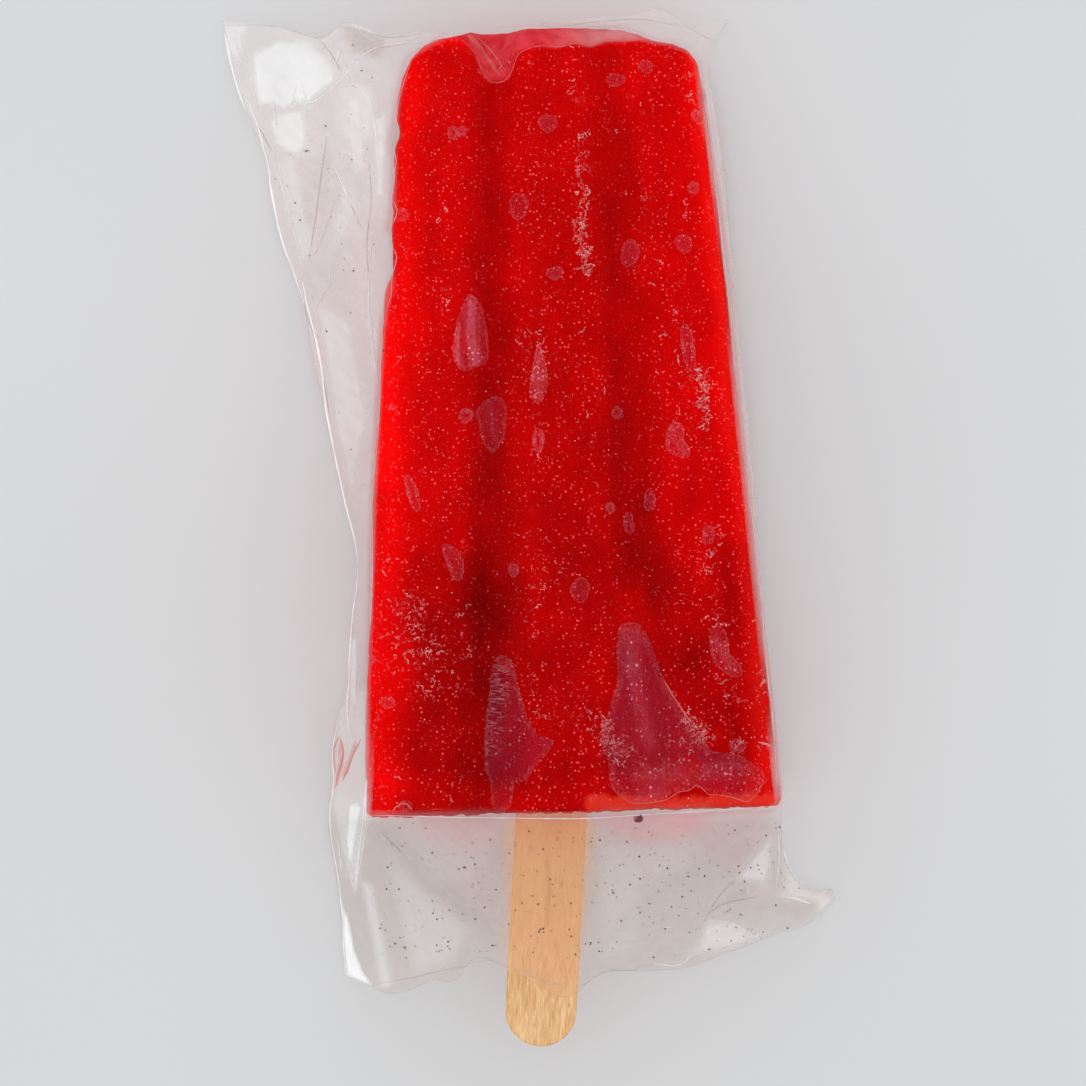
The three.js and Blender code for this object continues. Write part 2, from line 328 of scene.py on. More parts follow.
def model_ice():
    middle = REST + BASE_THICKNESS / 2
    bpy.ops.mesh.primitive_cube_add(
        size=1,
        location=(0, ICE_LENGTH / 2, middle),
        scale=(2 * BASE_HALF_WIDTH, ICE_LENGTH, BASE_THICKNESS),
    )
    ice = settle(active())
    tip = ICE_LENGTH - NEAR
    edit()
    pick(ice, "VERT", lambda p: p.y > tip)
    bpy.ops.transform.resize(value=(TIP_HALF_WIDTH / BASE_HALF_WIDTH, 1, 1))
    pick(ice, "VERT", lambda p: p.y > tip and p.z > middle)
    bpy.ops.transform.translate(value=(0, 0, TIP_THICKNESS - BASE_THICKNESS))
    # the upright edges at the tip, then the long rims, then the rim of the flat end
    pick(ice, "EDGE", lambda a, b: min(a.y, b.y) > tip and abs(a.z - b.z) > 10 * MM)
    bpy.ops.mesh.bevel(offset=TIP_CORNER, segments=10, affect="EDGES")
    pick(ice, "EDGE", lambda a, b: abs((a - b).normalized().z) < 0.2 and max(a.y, b.y) > NEAR)
    bpy.ops.mesh.bevel(offset=SIDE_ROUND, segments=8, affect="EDGES")
    pick(ice, "EDGE", lambda a, b: max(a.y, b.y) < NEAR)
    bpy.ops.mesh.bevel(offset=BASE_ROUND, segments=3, affect="EDGES")
    done()

    slot_cutter = stick_blank(0.3 * MM)
    modify(ice, "BOOLEAN", operation="DIFFERENCE", solver="EXACT", object=slot_cutter)
    bpy.data.objects.remove(slot_cutter)
    modify(ice, "REMESH", mode="VOXEL", voxel_size=ICE_GRAIN)
    press_flutes(ice)
    melt_sides(ice)
    roughen(ice)
    return ice


def press_flutes(ice):
    """Draws the flutes into both faces and leaves the slot round the stick as it is."""
    points = points_of(ice)
    u, v, z = points.T
    middle = REST + thickness(v) / 2
    depth = 0.5 * thickness(v) - drawn_in(TIP_ROUND, ICE_LENGTH - v)
    outward = (z - middle) / np.maximum(depth, MM)
    share = smooth(np.abs(outward), 0.35, 0.95)
    relief = face_height(u, v) * share
    up = np.where(outward > 0, relief, -np.minimum(relief, 0))
    points[:, 2] = z + up
    move_points(ice, points)


def melt_sides(ice):
    """The uneven long side, the notch where a flute runs out at the tip, and the wavy tip."""
    points = points_of(ice)
    u, v, z = points.T
    edge = half_width(v)
    side = smooth(np.abs(u) / edge, 0.8, 1.0)
    left = through(LEFT_BULGE, v / MM) * MM
    u = np.where(u < 0, u - left * side, u)
    out = np.stack([np.abs(u) - (TIP_HALF_WIDTH - TIP_CORNER), v - (ICE_LENGTH - TIP_CORNER)])
    across, ahead = np.maximum(out, 0)
    fuller = 0.5 * across * ahead / np.maximum(across**2 + ahead**2, 1e-12)
    u = u + np.sign(u) * across * fuller * 0.5
    v = v + ahead * fuller * 0.5
    to_tip = smooth(v, ICE_LENGTH - 3 * MM, ICE_LENGTH)
    top = smooth(z, 7 * MM, 14 * MM)
    v = v + to_tip * TIP_WAVE * np.sin(u / (3.1 * MM) + 0.6)
    notch = bump(u, NOTCH_PLACE, NOTCH_REACH) * smooth(v, ICE_LENGTH - 8.5 * MM, ICE_LENGTH - 2 * MM) * top
    z = z - NOTCH_DEPTH * notch
    v = v - NOTCH_BACK * notch
    at_x, at_y = frame_points(np.stack([u, v, z], 1))
    past = np.maximum(0, np.interp(at_x, *zip(*TIP_LIMIT)) - at_y) * VIEW_WIDTH / FRAME_POINTS
    v = v - 0.9 * past
    v = v + FOOT_SHORT * smooth(v, 4 * MM, 0)
    foot = smooth(v, 3 * MM, FOOT_SHORT) * smooth(z, 16 * MM, 20 * MM)
    ragged = lumps(flat(u, 0 * u), 1.3 * MM) + 0.6 * lumps(flat(u, 0 * u), 0.5 * MM)
    move_points(ice, np.stack([u, v + foot * 0.3 * MM * ragged, z], 1))


def roughen(ice):
    """Coarse and fine unevenness of ice that has been frozen in a mould and handled."""
    for name, size, strength in (("thawed_ice", 3.5 * MM, 0.35 * MM), ("ice_crystals", 1.1 * MM, 0.22 * MM)):
        grain = bpy.data.textures.new(name, "CLOUDS")
        grain.noise_scale = size
        modify(ice, "DISPLACE", texture=grain, strength=strength, mid_level=0.5, texture_coords="LOCAL")


# ---- The stick's form ----

def stick_place():
    """From a stick lying along Y on the origin to its place in the pop."""
    fall = (BASE_THICKNESS - TIP_THICKNESS) / (2 * ICE_LENGTH)
    along = Vector((math.sin(STICK_LEAN), 1, -fall)).normalized()
    leaves = Vector((STICK_PLACE, 0, REST + BASE_THICKNESS / 2))
    centre = leaves + along * (STICK_LENGTH / 2 - STICK_BARE)
    side = along.cross(Vector((0, 0, 1))).normalized()
    up = side.cross(along)
    turn = Matrix((side, along, up)).transposed().to_4x4()
    return Matrix.Translation(centre) @ turn


def stick_blank(grow):
    """A flat bar with two round ends, grown on every side."""
    half = STICK_WIDTH / 2 + grow
    bpy.ops.mesh.primitive_cylinder_add(
        vertices=64, radius=half, depth=STICK_THICKNESS + 2 * grow, end_fill_type="NGON"
    )
    stick = settle(active())
    edit()
    stretch = (STICK_LENGTH - STICK_WIDTH) / 2
    pick(stick, "VERT", lambda p: p.y > NEAR)
    bpy.ops.transform.translate(value=(0, stretch, 0))
    pick(stick, "VERT", lambda p: p.y < -NEAR)
    bpy.ops.transform.translate(value=(0, -stretch, 0))
    done()
    stick.data.transform(stick_place())
    return stick


def model_stick():
    stick = stick_blank(0)
    stick.data.transform(stick_place().inverted())
    edit()
    top = STICK_THICKNESS / 2 - NEAR
    pick(stick, "EDGE", lambda a, b: abs(a.z - b.z) < NEAR and abs(a.z) > top)
    bpy.ops.mesh.bevel(offset=STICK_ROUND, segments=3, affect="EDGES")
    done()
    modify(stick, "REMESH", mode="VOXEL", voxel_size=STICK_GRAIN)
    points = points_of(stick)
    wave = 0.02 * MM * lumps(points / (0.35 * MM, 9 * MM, 0.6 * MM), 1)
    points[:, 2] += wave * np.sign(points[:, 2])
    points[:, 0] += 0.08 * MM * np.sin(points[:, 1] / (17 * MM))
    move_points(stick, points)
    stick.data.transform(stick_place())
    return stick


# ---- The bag's form ----

# Where the bag's side edges lie, as [v, distance from the pop's axis], in millimetres.
LEFT_EDGE = [
    [-22.4, 31.6], [-15.5, 32], [-8, 32.7], [-0.8, 33.5], [4.7, 32.8], [8.1, 32.5], [12.6, 31.9],
    [15.6, 30.5], [21.7, 29.8], [26.8, 29.4], [31, 28.6], [35, 28.4], [43, 29.9], [54.4, 32.1],
    [63.6, 33.9], [69.6, 34.7], [78.8, 37.5], [84.4, 38.8], [89.9, 39.3], [95.4, 41.5], [99.8, 43.1],
    [107.8, 45],
]
RIGHT_EDGE = [
    [-22.4, 35.7], [-20, 35.3], [-16, 32.9], [-11, 30.3], [-7.5, 28.9], [-3.5, 28.5], [0, 28.6],
    [20, 27.2], [56, 25.3], [68, 24.3], [82, 23.5], [92, 22.7], [96, 22.1], [101, 21.5], [104, 21.8],
    [107.8, 24.4],
]
# The cut edges of the film, as [u, how far they lie past the straight mouth or seal], in millimetres.
MOUTH_LINE = [
    [-32, 0.6], [-28, -1.2], [-25.8, -2], [-22.1, -1.2], [-19.6, 0], [-15.9, 0.6], [-14.9, 2.1],
    [-9.5, 2.2], [-6, 0.1], [-0.6, -1.8], [1.9, 0.3], [9.7, 0.8], [14.6, 0.8], [19.7, 2.3], [23.5, 3.3],
    [27.6, 4.7], [32.2, 5.8], [35.7, 8.8],
]
SEAL_LINE = [
    [-45, 1.3], [-37.5, 0.3], [-33.5, -1.2], [-31.2, -1.9], [-28.4, 0], [-25.7, -0.4], [-22.6, -2.1],
    [-17.8, -1.6], [-14, -2], [-4, -1.5], [4, -0.9], [12.3, 0], [14.4, 0.6], [16.4, 0], [19, -2],
    [21, -1.2], [24.4, -0.4],
]
MOUTH_TOP = 16.2 * MM
MOUTH_HALF_WIDTH = 6.5 * MM
MOUTH_ROUND = 3 * MM


def hump_at(v):
    """The rounded hump that the film is drawn over at v: its middle, half width, top, corner and relief."""
    if v < 0:
        to_mouth = min(v / MOUTH_AT, 1)
        fall = 1 - (1 - to_mouth) ** 1.5
        stick_at = STICK_PLACE + math.sin(STICK_LEAN) * v
        half = BASE_HALF_WIDTH + CLING
        top = REST + BASE_THICKNESS + CLING
        return (
            stick_at * fall,
            half + (MOUTH_HALF_WIDTH + CLING - half) * fall,
            top + (MOUTH_TOP + CLING - top) * fall,
            SIDE_ROUND + (MOUTH_ROUND - SIDE_ROUND) * fall + CLING,
            1 - float(smooth(to_mouth, 0, 0.5)),
        )
    from_tip = ICE_LENGTH - v + CLING
    rounded = float(drawn_in(TIP_ROUND + CLING, from_tip))
    half = float(half_width(v)) + CLING - float(drawn_in(TIP_CORNER + CLING, from_tip))
    thick = float(thickness(v))
    top = REST + thick + CLING - rounded
    round_off = min(SIDE_ROUND + CLING, 0.45 * top)
    relief = min(1, max(0, (thick - 2 * rounded) / thick))
    slope_top = film_over_tip(v)
    if slope_top is not None and slope_top > top:
        return 0, half, slope_top, min(round_off, 0.4 * slope_top), relief * 0.3
    return 0, half, top, round_off, relief


def film_over_tip(v):
    """Height of the straight film from the rounded tip down to the seal, or None before it leaves the ice."""
    radius = TIP_ROUND + CLING
    centre_v = ICE_LENGTH - TIP_ROUND
    centre_z = REST + TIP_THICKNESS - TIP_ROUND
    along, down = SEAL_AT - centre_v, EDGE - centre_z
    distance = math.hypot(along, down)
    angle = math.atan2(down, along) + math.acos(min(1, radius / distance))
    touch_v = centre_v + radius * math.cos(angle)
    touch_z = centre_z + radius * math.sin(angle)
    if v <= touch_v:
        return None
    share = min(1, (v - touch_v) / (SEAL_AT - touch_v))
    return touch_z + (EDGE - touch_z) * share


def film_height(u, v, left, right):
    """Height of the tight film over one row of points: flat over the hump and straight down to each edge."""
    middle, half, top, round_off, relief = hump_at(v)
    reach = half - round_off
    level = np.full(u.shape, top)
    for sign, edge in ((1, right), (-1, left)):
        centre = sign * middle + reach
        out = sign * u
        away = max(edge - centre, round_off + 0.01 * MM)
        drop = EDGE - (top - round_off)
        distance = math.hypot(away, drop)
        angle = math.atan2(drop, away) + math.acos(min(1, round_off / distance))
        touch_u = centre + round_off * math.cos(angle)
        touch_z = top - round_off + round_off * math.sin(angle)
        over = np.clip(out - centre, 0, round_off)
        arc = top - round_off + np.sqrt(round_off**2 - over**2)
        slope = touch_z + (EDGE - touch_z) * (out - touch_u) / max(edge - touch_u, 0.01 * MM)
        level = np.where(out > centre, np.where(out > touch_u, slope, arc), level)
    return level + relief * face_height(u - middle, max(v, 0)) * (np.abs(u - middle) < reach)


def row_places(count, start, end):
    return [start + (end - start) * i / count for i in range(count)]


def cut_ends(u, v):
    """How far along each point lies once the film's two ends follow their cut lines."""
    to_mouth = smooth(-v, 8 * MM, -MOUTH_AT)
    to_seal = smooth(v, ICE_LENGTH - 9 * MM, SEAL_AT)
    return v + (to_mouth * through(MOUTH_LINE, u / MM) + to_seal * through(SEAL_LINE, u / MM)) * MM


FLAP_COLUMNS = 52
FACE_COLUMNS = 74
BAND_COLUMNS = 20
ROWS = 330


def film_grid():
    """Rows of points for the film's upper side, closest together on the loose flap and the band."""
    rows = []
    for t in row_places(ROWS, 0, 1) + [1]:
        v = MOUTH_AT + (SEAL_AT - MOUTH_AT) * t
        left = float(through(LEFT_EDGE, v / MM)) * MM
        right = float(through(RIGHT_EDGE, v / MM)) * MM
        middle, half, *_ = hump_at(v)
        shoulder = min(half * 0.97, left - 1.5 * MM - middle)
        shoulder_right = min(half * 0.97, right - 0.6 * MM - middle)
        u = np.array(
            row_places(FLAP_COLUMNS, -left, middle - shoulder)
            + row_places(FACE_COLUMNS, middle - shoulder, middle + shoulder_right)
            + row_places(BAND_COLUMNS, middle + shoulder_right, right)
            + [right]
        )
        z = film_height(u, v, left, right)
        rows.append(np.stack([u, cut_ends(u, v), z], 1))
    return np.array(rows)


def crumple(points, free, seed):
    """Height of the film's crumples: long soft folds, with flat facets and low creases between them."""
    out = np.zeros(len(points))
    for i, (u, v, _) in enumerate(points):
        if free[i] < 0.01:
            continue
        cells = noise.voronoi(Vector((u / (6 * MM), v / (19 * MM), seed)))[0]
        wave = noise.noise(Vector((u / (8 * MM), v / (30 * MM), seed + 5)))
        small = noise.voronoi(Vector((u / (3.2 * MM) + v / (11 * MM), v / (12 * MM), seed + 9)))[0]
        ripple = noise.noise(Vector((u / (1.7 * MM), v / (2.4 * MM), seed + 2)))
        facet = 0.3 * (cells[1] - cells[0]) + 0.07 * (small[1] - small[0]) + 0.03 * ripple
        out[i] = free[i] * MM * (0.5 * wave + facet)
    return out


def model_film(ice_tree):
    grid = film_grid()
    rows, columns = grid.shape[:2]
    bpy.ops.mesh.primitive_grid_add(x_subdivisions=columns - 1, y_subdivisions=rows - 1, size=1)
    film = settle(active())
    start = points_of(film)
    order = np.lexsort((start[:, 0], start[:, 1]))
    laid = np.empty_like(start)
    laid[order] = grid.reshape(-1, 3)
    u, v, z = laid.T
    under = np.array([face_under(ice_tree, Vector(point), REST) for point in laid])
    gap = z - under
    free = smooth(gap, 1.2 * MM, 5 * MM) * smooth(z, EDGE, 3.5 * MM)
    z = z + crumple(laid, free, 3)
    z = np.maximum(z, np.where(under > REST, under + CLING, 0.55 * MM))
    move_points(film, np.stack([u, v, z], 1))
    paint_film(film, free)
    modify(film, "SOLIDIFY", thickness=FILM, offset=1)
    return film


def model_film_back():
    """The film's lower side, flat on the ground under the pop."""
    bpy.ops.mesh.primitive_grid_add(x_subdivisions=60, y_subdivisions=110, size=1)
    back = settle(active())
    s, t, _ = points_of(back).T
    v = MOUTH_AT + (SEAL_AT - MOUTH_AT) * (t + 0.5)
    left = through(LEFT_EDGE, v / MM) * MM
    right = through(RIGHT_EDGE, v / MM) * MM
    u = -left + (left + right) * (s + 0.5)
    v = cut_ends(u, v)
    rim = np.minimum(s + 0.5, 0.5 - s)
    z = 0.1 * MM + (EDGE - 0.2 * MM) * (1 - smooth(rim, 0, 0.03))
    move_points(back, np.stack([u, v, z], 1))
    modify(back, "SOLIDIFY", thickness=FILM, offset=-1)
    return back


# ---- What the camera's frame shows on the film and the ice, in points of that frame ----

ICE_OUTLINE = [
    (391, 229), (395, 203), (395, 177), (396, 158), (393, 144), (397, 122), (400, 94), (409, 60), (424, 50),
    (442, 40), (452, 29), (560, 28), (590, 30), (620, 30), (640, 36), (655, 43), (672, 45), (687, 52),
    (695, 62), (701, 100), (717, 200), (729, 300), (737, 400), (744, 460), (754, 560), (763, 640), (771, 700),
    (777, 790), (776, 802), (770, 808), (679, 812), (595, 815),
    (412, 814), (369, 812), (369, 700), (375, 500), (384, 329), (392, 284),
]
# The ice's end below its upper face, seen through a fold of film.
TIP_BAND = [
    (448, 34), (458, 28), (560, 27), (622, 28), (640, 35), (655, 42), (640, 39), (605, 41), (590, 46),
    (575, 43), (555, 47), (535, 46), (520, 50), (514, 62), (508, 78), (498, 82), (488, 80), (481, 70),
    (476, 55), (465, 41),
]
STICK_AXIS = [(551, 800), (541, 1000)]
# Air that lies under the film on the ice, as (centre, veil, depth of colour, outline).
POCKETS = [
    ((470, 335), 0.76, 0.2, [
        (468, 293), (476, 299), (480, 309), (483, 321), (485, 336), (487, 353), (485, 361), (476, 366),
        (464, 371), (458, 369), (454, 358), (454, 348), (456, 334), (458, 319), (462, 309), (465, 299)]),
    ((492, 421), 0.14, 0.28, [
        (488, 399), (501, 396), (507, 404), (508, 414), (506, 431), (503, 442), (493, 454), (487, 450),
        (482, 442), (479, 431), (478, 421), (474, 415), (476, 408), (482, 402)]),
    ((467, 414), 0.4, 0.2, [(471, 416), (464, 424), (460, 419), (460, 412), (470, 411)]),
    ((539, 378), 0.42, 0.0, [
        (539, 345), (542, 355), (545, 368), (546, 384), (544, 396), (539, 403), (534, 401), (531, 394),
        (532, 381), (535, 367), (537, 353)]),
    ((538, 440), 0.6, 0.0, [(537, 429), (541, 432), (542, 443), (539, 453), (535, 447), (535, 436)]),
    ((454, 563), 0.45, 0.2, [
        (443, 544), (451, 546), (459, 554), (462, 565), (461, 579), (456, 581), (453, 572), (449, 562),
        (445, 552)]),
    ((412, 493), 0.5, 0.2, [(406, 474), (411, 479), (416, 492), (420, 513), (415, 508), (409, 490)]),
    ((676, 442), 0.32, 0.15, [
        (670, 424), (679, 423), (683, 429), (681, 438), (684, 445), (690, 452), (686, 459), (678, 456),
        (670, 452), (667, 445), (667, 436)]),
    ((688, 348), 0.4, 0.3, [
        (682, 321), (690, 330), (692, 349), (695, 368), (691, 373), (687, 362), (684, 347)]),
    ((507, 747), 0.06, 0.65, [
        (504, 655), (511, 657), (516, 668), (518, 682), (523, 697), (526, 713), (532, 727), (539, 735),
        (550, 738), (554, 741), (549, 750), (541, 758), (535, 767), (527, 780), (518, 782), (510, 784),
        (515, 797), (509, 810), (503, 813), (495, 812), (492, 803), (493, 789), (489, 780), (485, 769),
        (484, 752), (485, 734), (486, 715), (489, 697), (491, 679), (492, 665), (498, 657)]),
    ((648, 752), 0.31, 0.7, [
        (617, 627), (624, 623), (633, 622), (642, 627), (647, 634), (652, 646), (657, 660), (664, 679),
        (673, 695), (683, 711), (691, 723), (701, 735), (708, 747), (712, 754), (725, 753), (739, 754),
        (750, 761), (761, 770), (764, 778), (760, 789), (753, 796), (746, 801), (736, 796), (722, 794),
        (709, 789), (695, 785), (687, 788), (677, 792), (666, 798), (650, 802), (632, 802), (622, 798),
        (612, 788), (608, 777), (609, 766), (604, 752), (600, 740), (602, 726), (608, 712), (611, 698),
        (616, 684), (617, 670), (616, 656), (616, 641)]),
    ((720, 652), 0.28, 0.15, [
        (711, 627), (720, 626), (725, 634), (726, 646), (726, 656), (733, 662), (742, 670), (739, 677),
        (732, 676), (720, 669), (713, 660), (711, 649), (710, 638)]),
]
# Small round pockets and bubbles, as (x, y, half width, half height, veil).
OVALS = [
    (617, 77, 9, 6, 0.9), (646, 65, 7, 5, 0.7), (548, 122, 8, 9, 0.8), (632, 252, 9, 13, 1.0),
    (684, 243, 9, 8, 0.7), (555, 273, 7, 6, 0.6), (402, 213, 7, 6, 0.8), (515, 570, 4, 7, 0.9),
    (628, 524, 5, 10, 0.9), (651, 500, 5, 10, 0.8), (609, 508, 4, 4, 0.8), (616, 413, 5, 6, 0.7),
    (580, 590, 8, 13, 0.45), (708, 535, 5, 8, 0.6), (374, 660, 3, 4, 1.0), (389, 702, 7, 4, 0.7),
    (406, 805, 6, 4, 0.6), (453, 132, 4, 6, 1.0), (462, 130, 3, 4, 1.0), (701, 92, 4, 6, 0.8),
    (693, 187, 4, 6, 0.7), (695, 113, 3, 5, 0.7), (736, 745, 7, 6, 0.9), (520, 205, 9, 12, 0.3),
]
# Patches of frost marks, as (line that they lie along, reach from it, how many). The marks of a patch with
# more than BRIGHT_PATCH of them are brighter.
BRIGHT_PATCH = 88
FROST_PATCHES = [
    ([(583, 133), (581, 190), (583, 222)], 5, 90), ([(580, 218), (582, 240), (587, 268)], 4, 120),
    ([(574, 78), (579, 99)], 4, 12),
    ([(540, 325), (535, 400), (540, 460)], 7, 42), ([(524, 335), (528, 365)], 5, 16),
    ([(538, 545), (534, 640), (536, 720)], 9, 44), ([(440, 200), (448, 330)], 7, 26),
    ([(690, 64), (703, 133)], 8, 34), ([(685, 200), (687, 214)], 5, 8), ([(702, 369), (704, 424)], 6, 110),
    ([(706, 525), (710, 594)], 13, 46), ([(390, 610), (420, 650), (465, 690)], 22, 70),
    ([(400, 598), (404, 645), (430, 695)], 13, 88), ([(412, 600), (425, 660)], 15, 80),
    ([(532, 719), (605, 717)], 5, 26), ([(762, 674), (766, 690)], 5, 12), ([(760, 746), (773, 742)], 4, 10),
    ([(604, 722), (610, 745), (622, 754)], 9, 150), ([(688, 722), (704, 738)], 8, 100),
    ([(720, 676), (736, 700)], 6, 26),
    ([(735, 740), (738, 750)], 5, 26), ([(712, 616), (722, 622)], 5, 16), ([(650, 770), (700, 740)], 16, 50),
    ([(400, 780), (600, 800)], 12, 24), ([(460, 600), (470, 700)], 16, 22), ([(630, 735), (634, 770)], 20, 16),
    ([(640, 90), (650, 200)], 30, 26), ([(660, 250), (700, 420)], 20, 30), ([(400, 240), (392, 420)], 8, 26),
    ([(384, 460), (376, 780)], 8, 26), ([(736, 400), (766, 700)], 8, 30), ([(560, 300), (600, 520)], 30, 26),
    ([(440, 60), (680, 60)], 14, 26),
]
# Painted glare: patches of the film painted milky and white where they catch the light, as (outline, softness,
# how milky, how white).
GLARES = [
    ([(252, 55), (278, 41), (309, 42), (322, 54), (334, 68), (335, 81), (319, 93), (307, 104), (294, 102),
      (285, 109), (273, 104), (259, 104), (255, 85)], 5, 0.53, 0.85),
    ([(269, 120), (285, 112), (302, 110), (307, 130), (305, 147), (298, 155), (287, 152), (275, 144)],
     5, 0.47, 0.7),
    ([(350, 806), (357, 803), (361, 807), (356, 834), (351, 864), (348, 859), (347, 839)], 2, 0.9, 1.0),
    ([(341, 903), (348, 919), (354, 950), (363, 973), (372, 986), (359, 982), (347, 978),
      (344, 953)], 2, 0.9, 1.0),
    ([(351, 636), (357, 640), (356, 700), (350, 730)], 2, 0.5, 0.7),
    ([(345, 100), (362, 96), (366, 170), (352, 178)], 5, 0.42, 0.35),
    ([(372, 120), (388, 110), (384, 196), (376, 200)], 5, 0.42, 0.35),
    ([(318, 305), (352, 322), (368, 420), (352, 500), (334, 420)], 6, 0.4, 0.25),
    ([(400, 826), (500, 826), (470, 880), (430, 880)], 10, 0.16, 0.2),
    ([(610, 840), (700, 846), (690, 900), (640, 930)], 14, 0.16, 0.1),
    ([(772, 832), (737, 878), (769, 886)], 5, 0.44, 0.5),
    ([(708, 920), (732, 923), (753, 934), (769, 932), (731, 948), (694, 953)], 5, 0.4, 0.5),
    ([(790, 850), (837, 894), (830, 912), (800, 900), (782, 896)], 3, 0.4, 0.5),
    ([(222, 26), (246, 24), (240, 60), (226, 50)], 3, 0.4, 0.6),
    ([(343, 190), (359, 207), (345, 240), (330, 256), (335, 215)], 5, 0.35, 0.4),
]

# Broad flats of the film's foot and flap, as (outline, softness, how much milkier, shade, how pink from painted
# red light of the ice). A shade below 0 paints the flat duller and browner as shade, and one above 0 paints it
# whiter as lit.
FACETS = [
    ([(378, 832), (390, 830), (438, 872), (512, 936), (502, 950), (426, 890)], 5, 0.12, -0.9, 0.0),
    ([(388, 856), (425, 892), (470, 930), (450, 962), (415, 972), (398, 905)], 9, 0.06, 0.3, 0.0),
    ([(362, 880), (372, 885), (392, 985), (382, 988)], 4, 0.1, 0.5, 0.0),
    ([(400, 825), (500, 825), (500, 930), (440, 870)], 9, 0.04, -0.35, 0.12),
    ([(420, 818), (500, 816), (500, 840), (470, 850), (430, 838)], 12, 0.08, 0.0, 0.5),
    ([(604, 816), (706, 812), (694, 834), (645, 842), (614, 834)], 12, 0.14, 0.1, 0.8),
    ([(640, 880), (700, 870), (720, 905), (690, 950), (660, 965), (640, 940)], 9, 0.04, -0.4, 0.0),
    ([(716, 905), (760, 878), (776, 878), (800, 900), (826, 905), (800, 918), (770, 908), (735, 915)],
     4, 0.12, -0.7, 0.0),
    ([(784, 842), (816, 880), (836, 890), (830, 905), (800, 896), (780, 890)], 4, 0.08, 0.3, 0.1),
    ([(690, 818), (770, 812), (772, 830), (735, 870), (700, 850)], 8, 0.04, 0.0, 0.2),
    ([(600, 840), (640, 850), (640, 950), (600, 960)], 10, 0.03, 0.2, 0.0),
    ([(340, 690), (367, 690), (369, 815), (356, 893), (345, 862), (334, 800)], 4, 0.14, 0.55, 0.0),
    ([(338, 86), (372, 86), (372, 139), (345, 139)], 5, 0.06, 0.3, 0.0),
    ([(342, 24), (386, 39), (380, 60), (352, 52)], 4, 0.1, -0.8, 0.0),
    ([(300, 160), (335, 150), (322, 230), (305, 225)], 6, 0.05, -0.3, 0.0),
    ([(276, 160), (292, 158), (312, 250), (300, 262)], 5, 0.06, 0.4, 0.0),
]
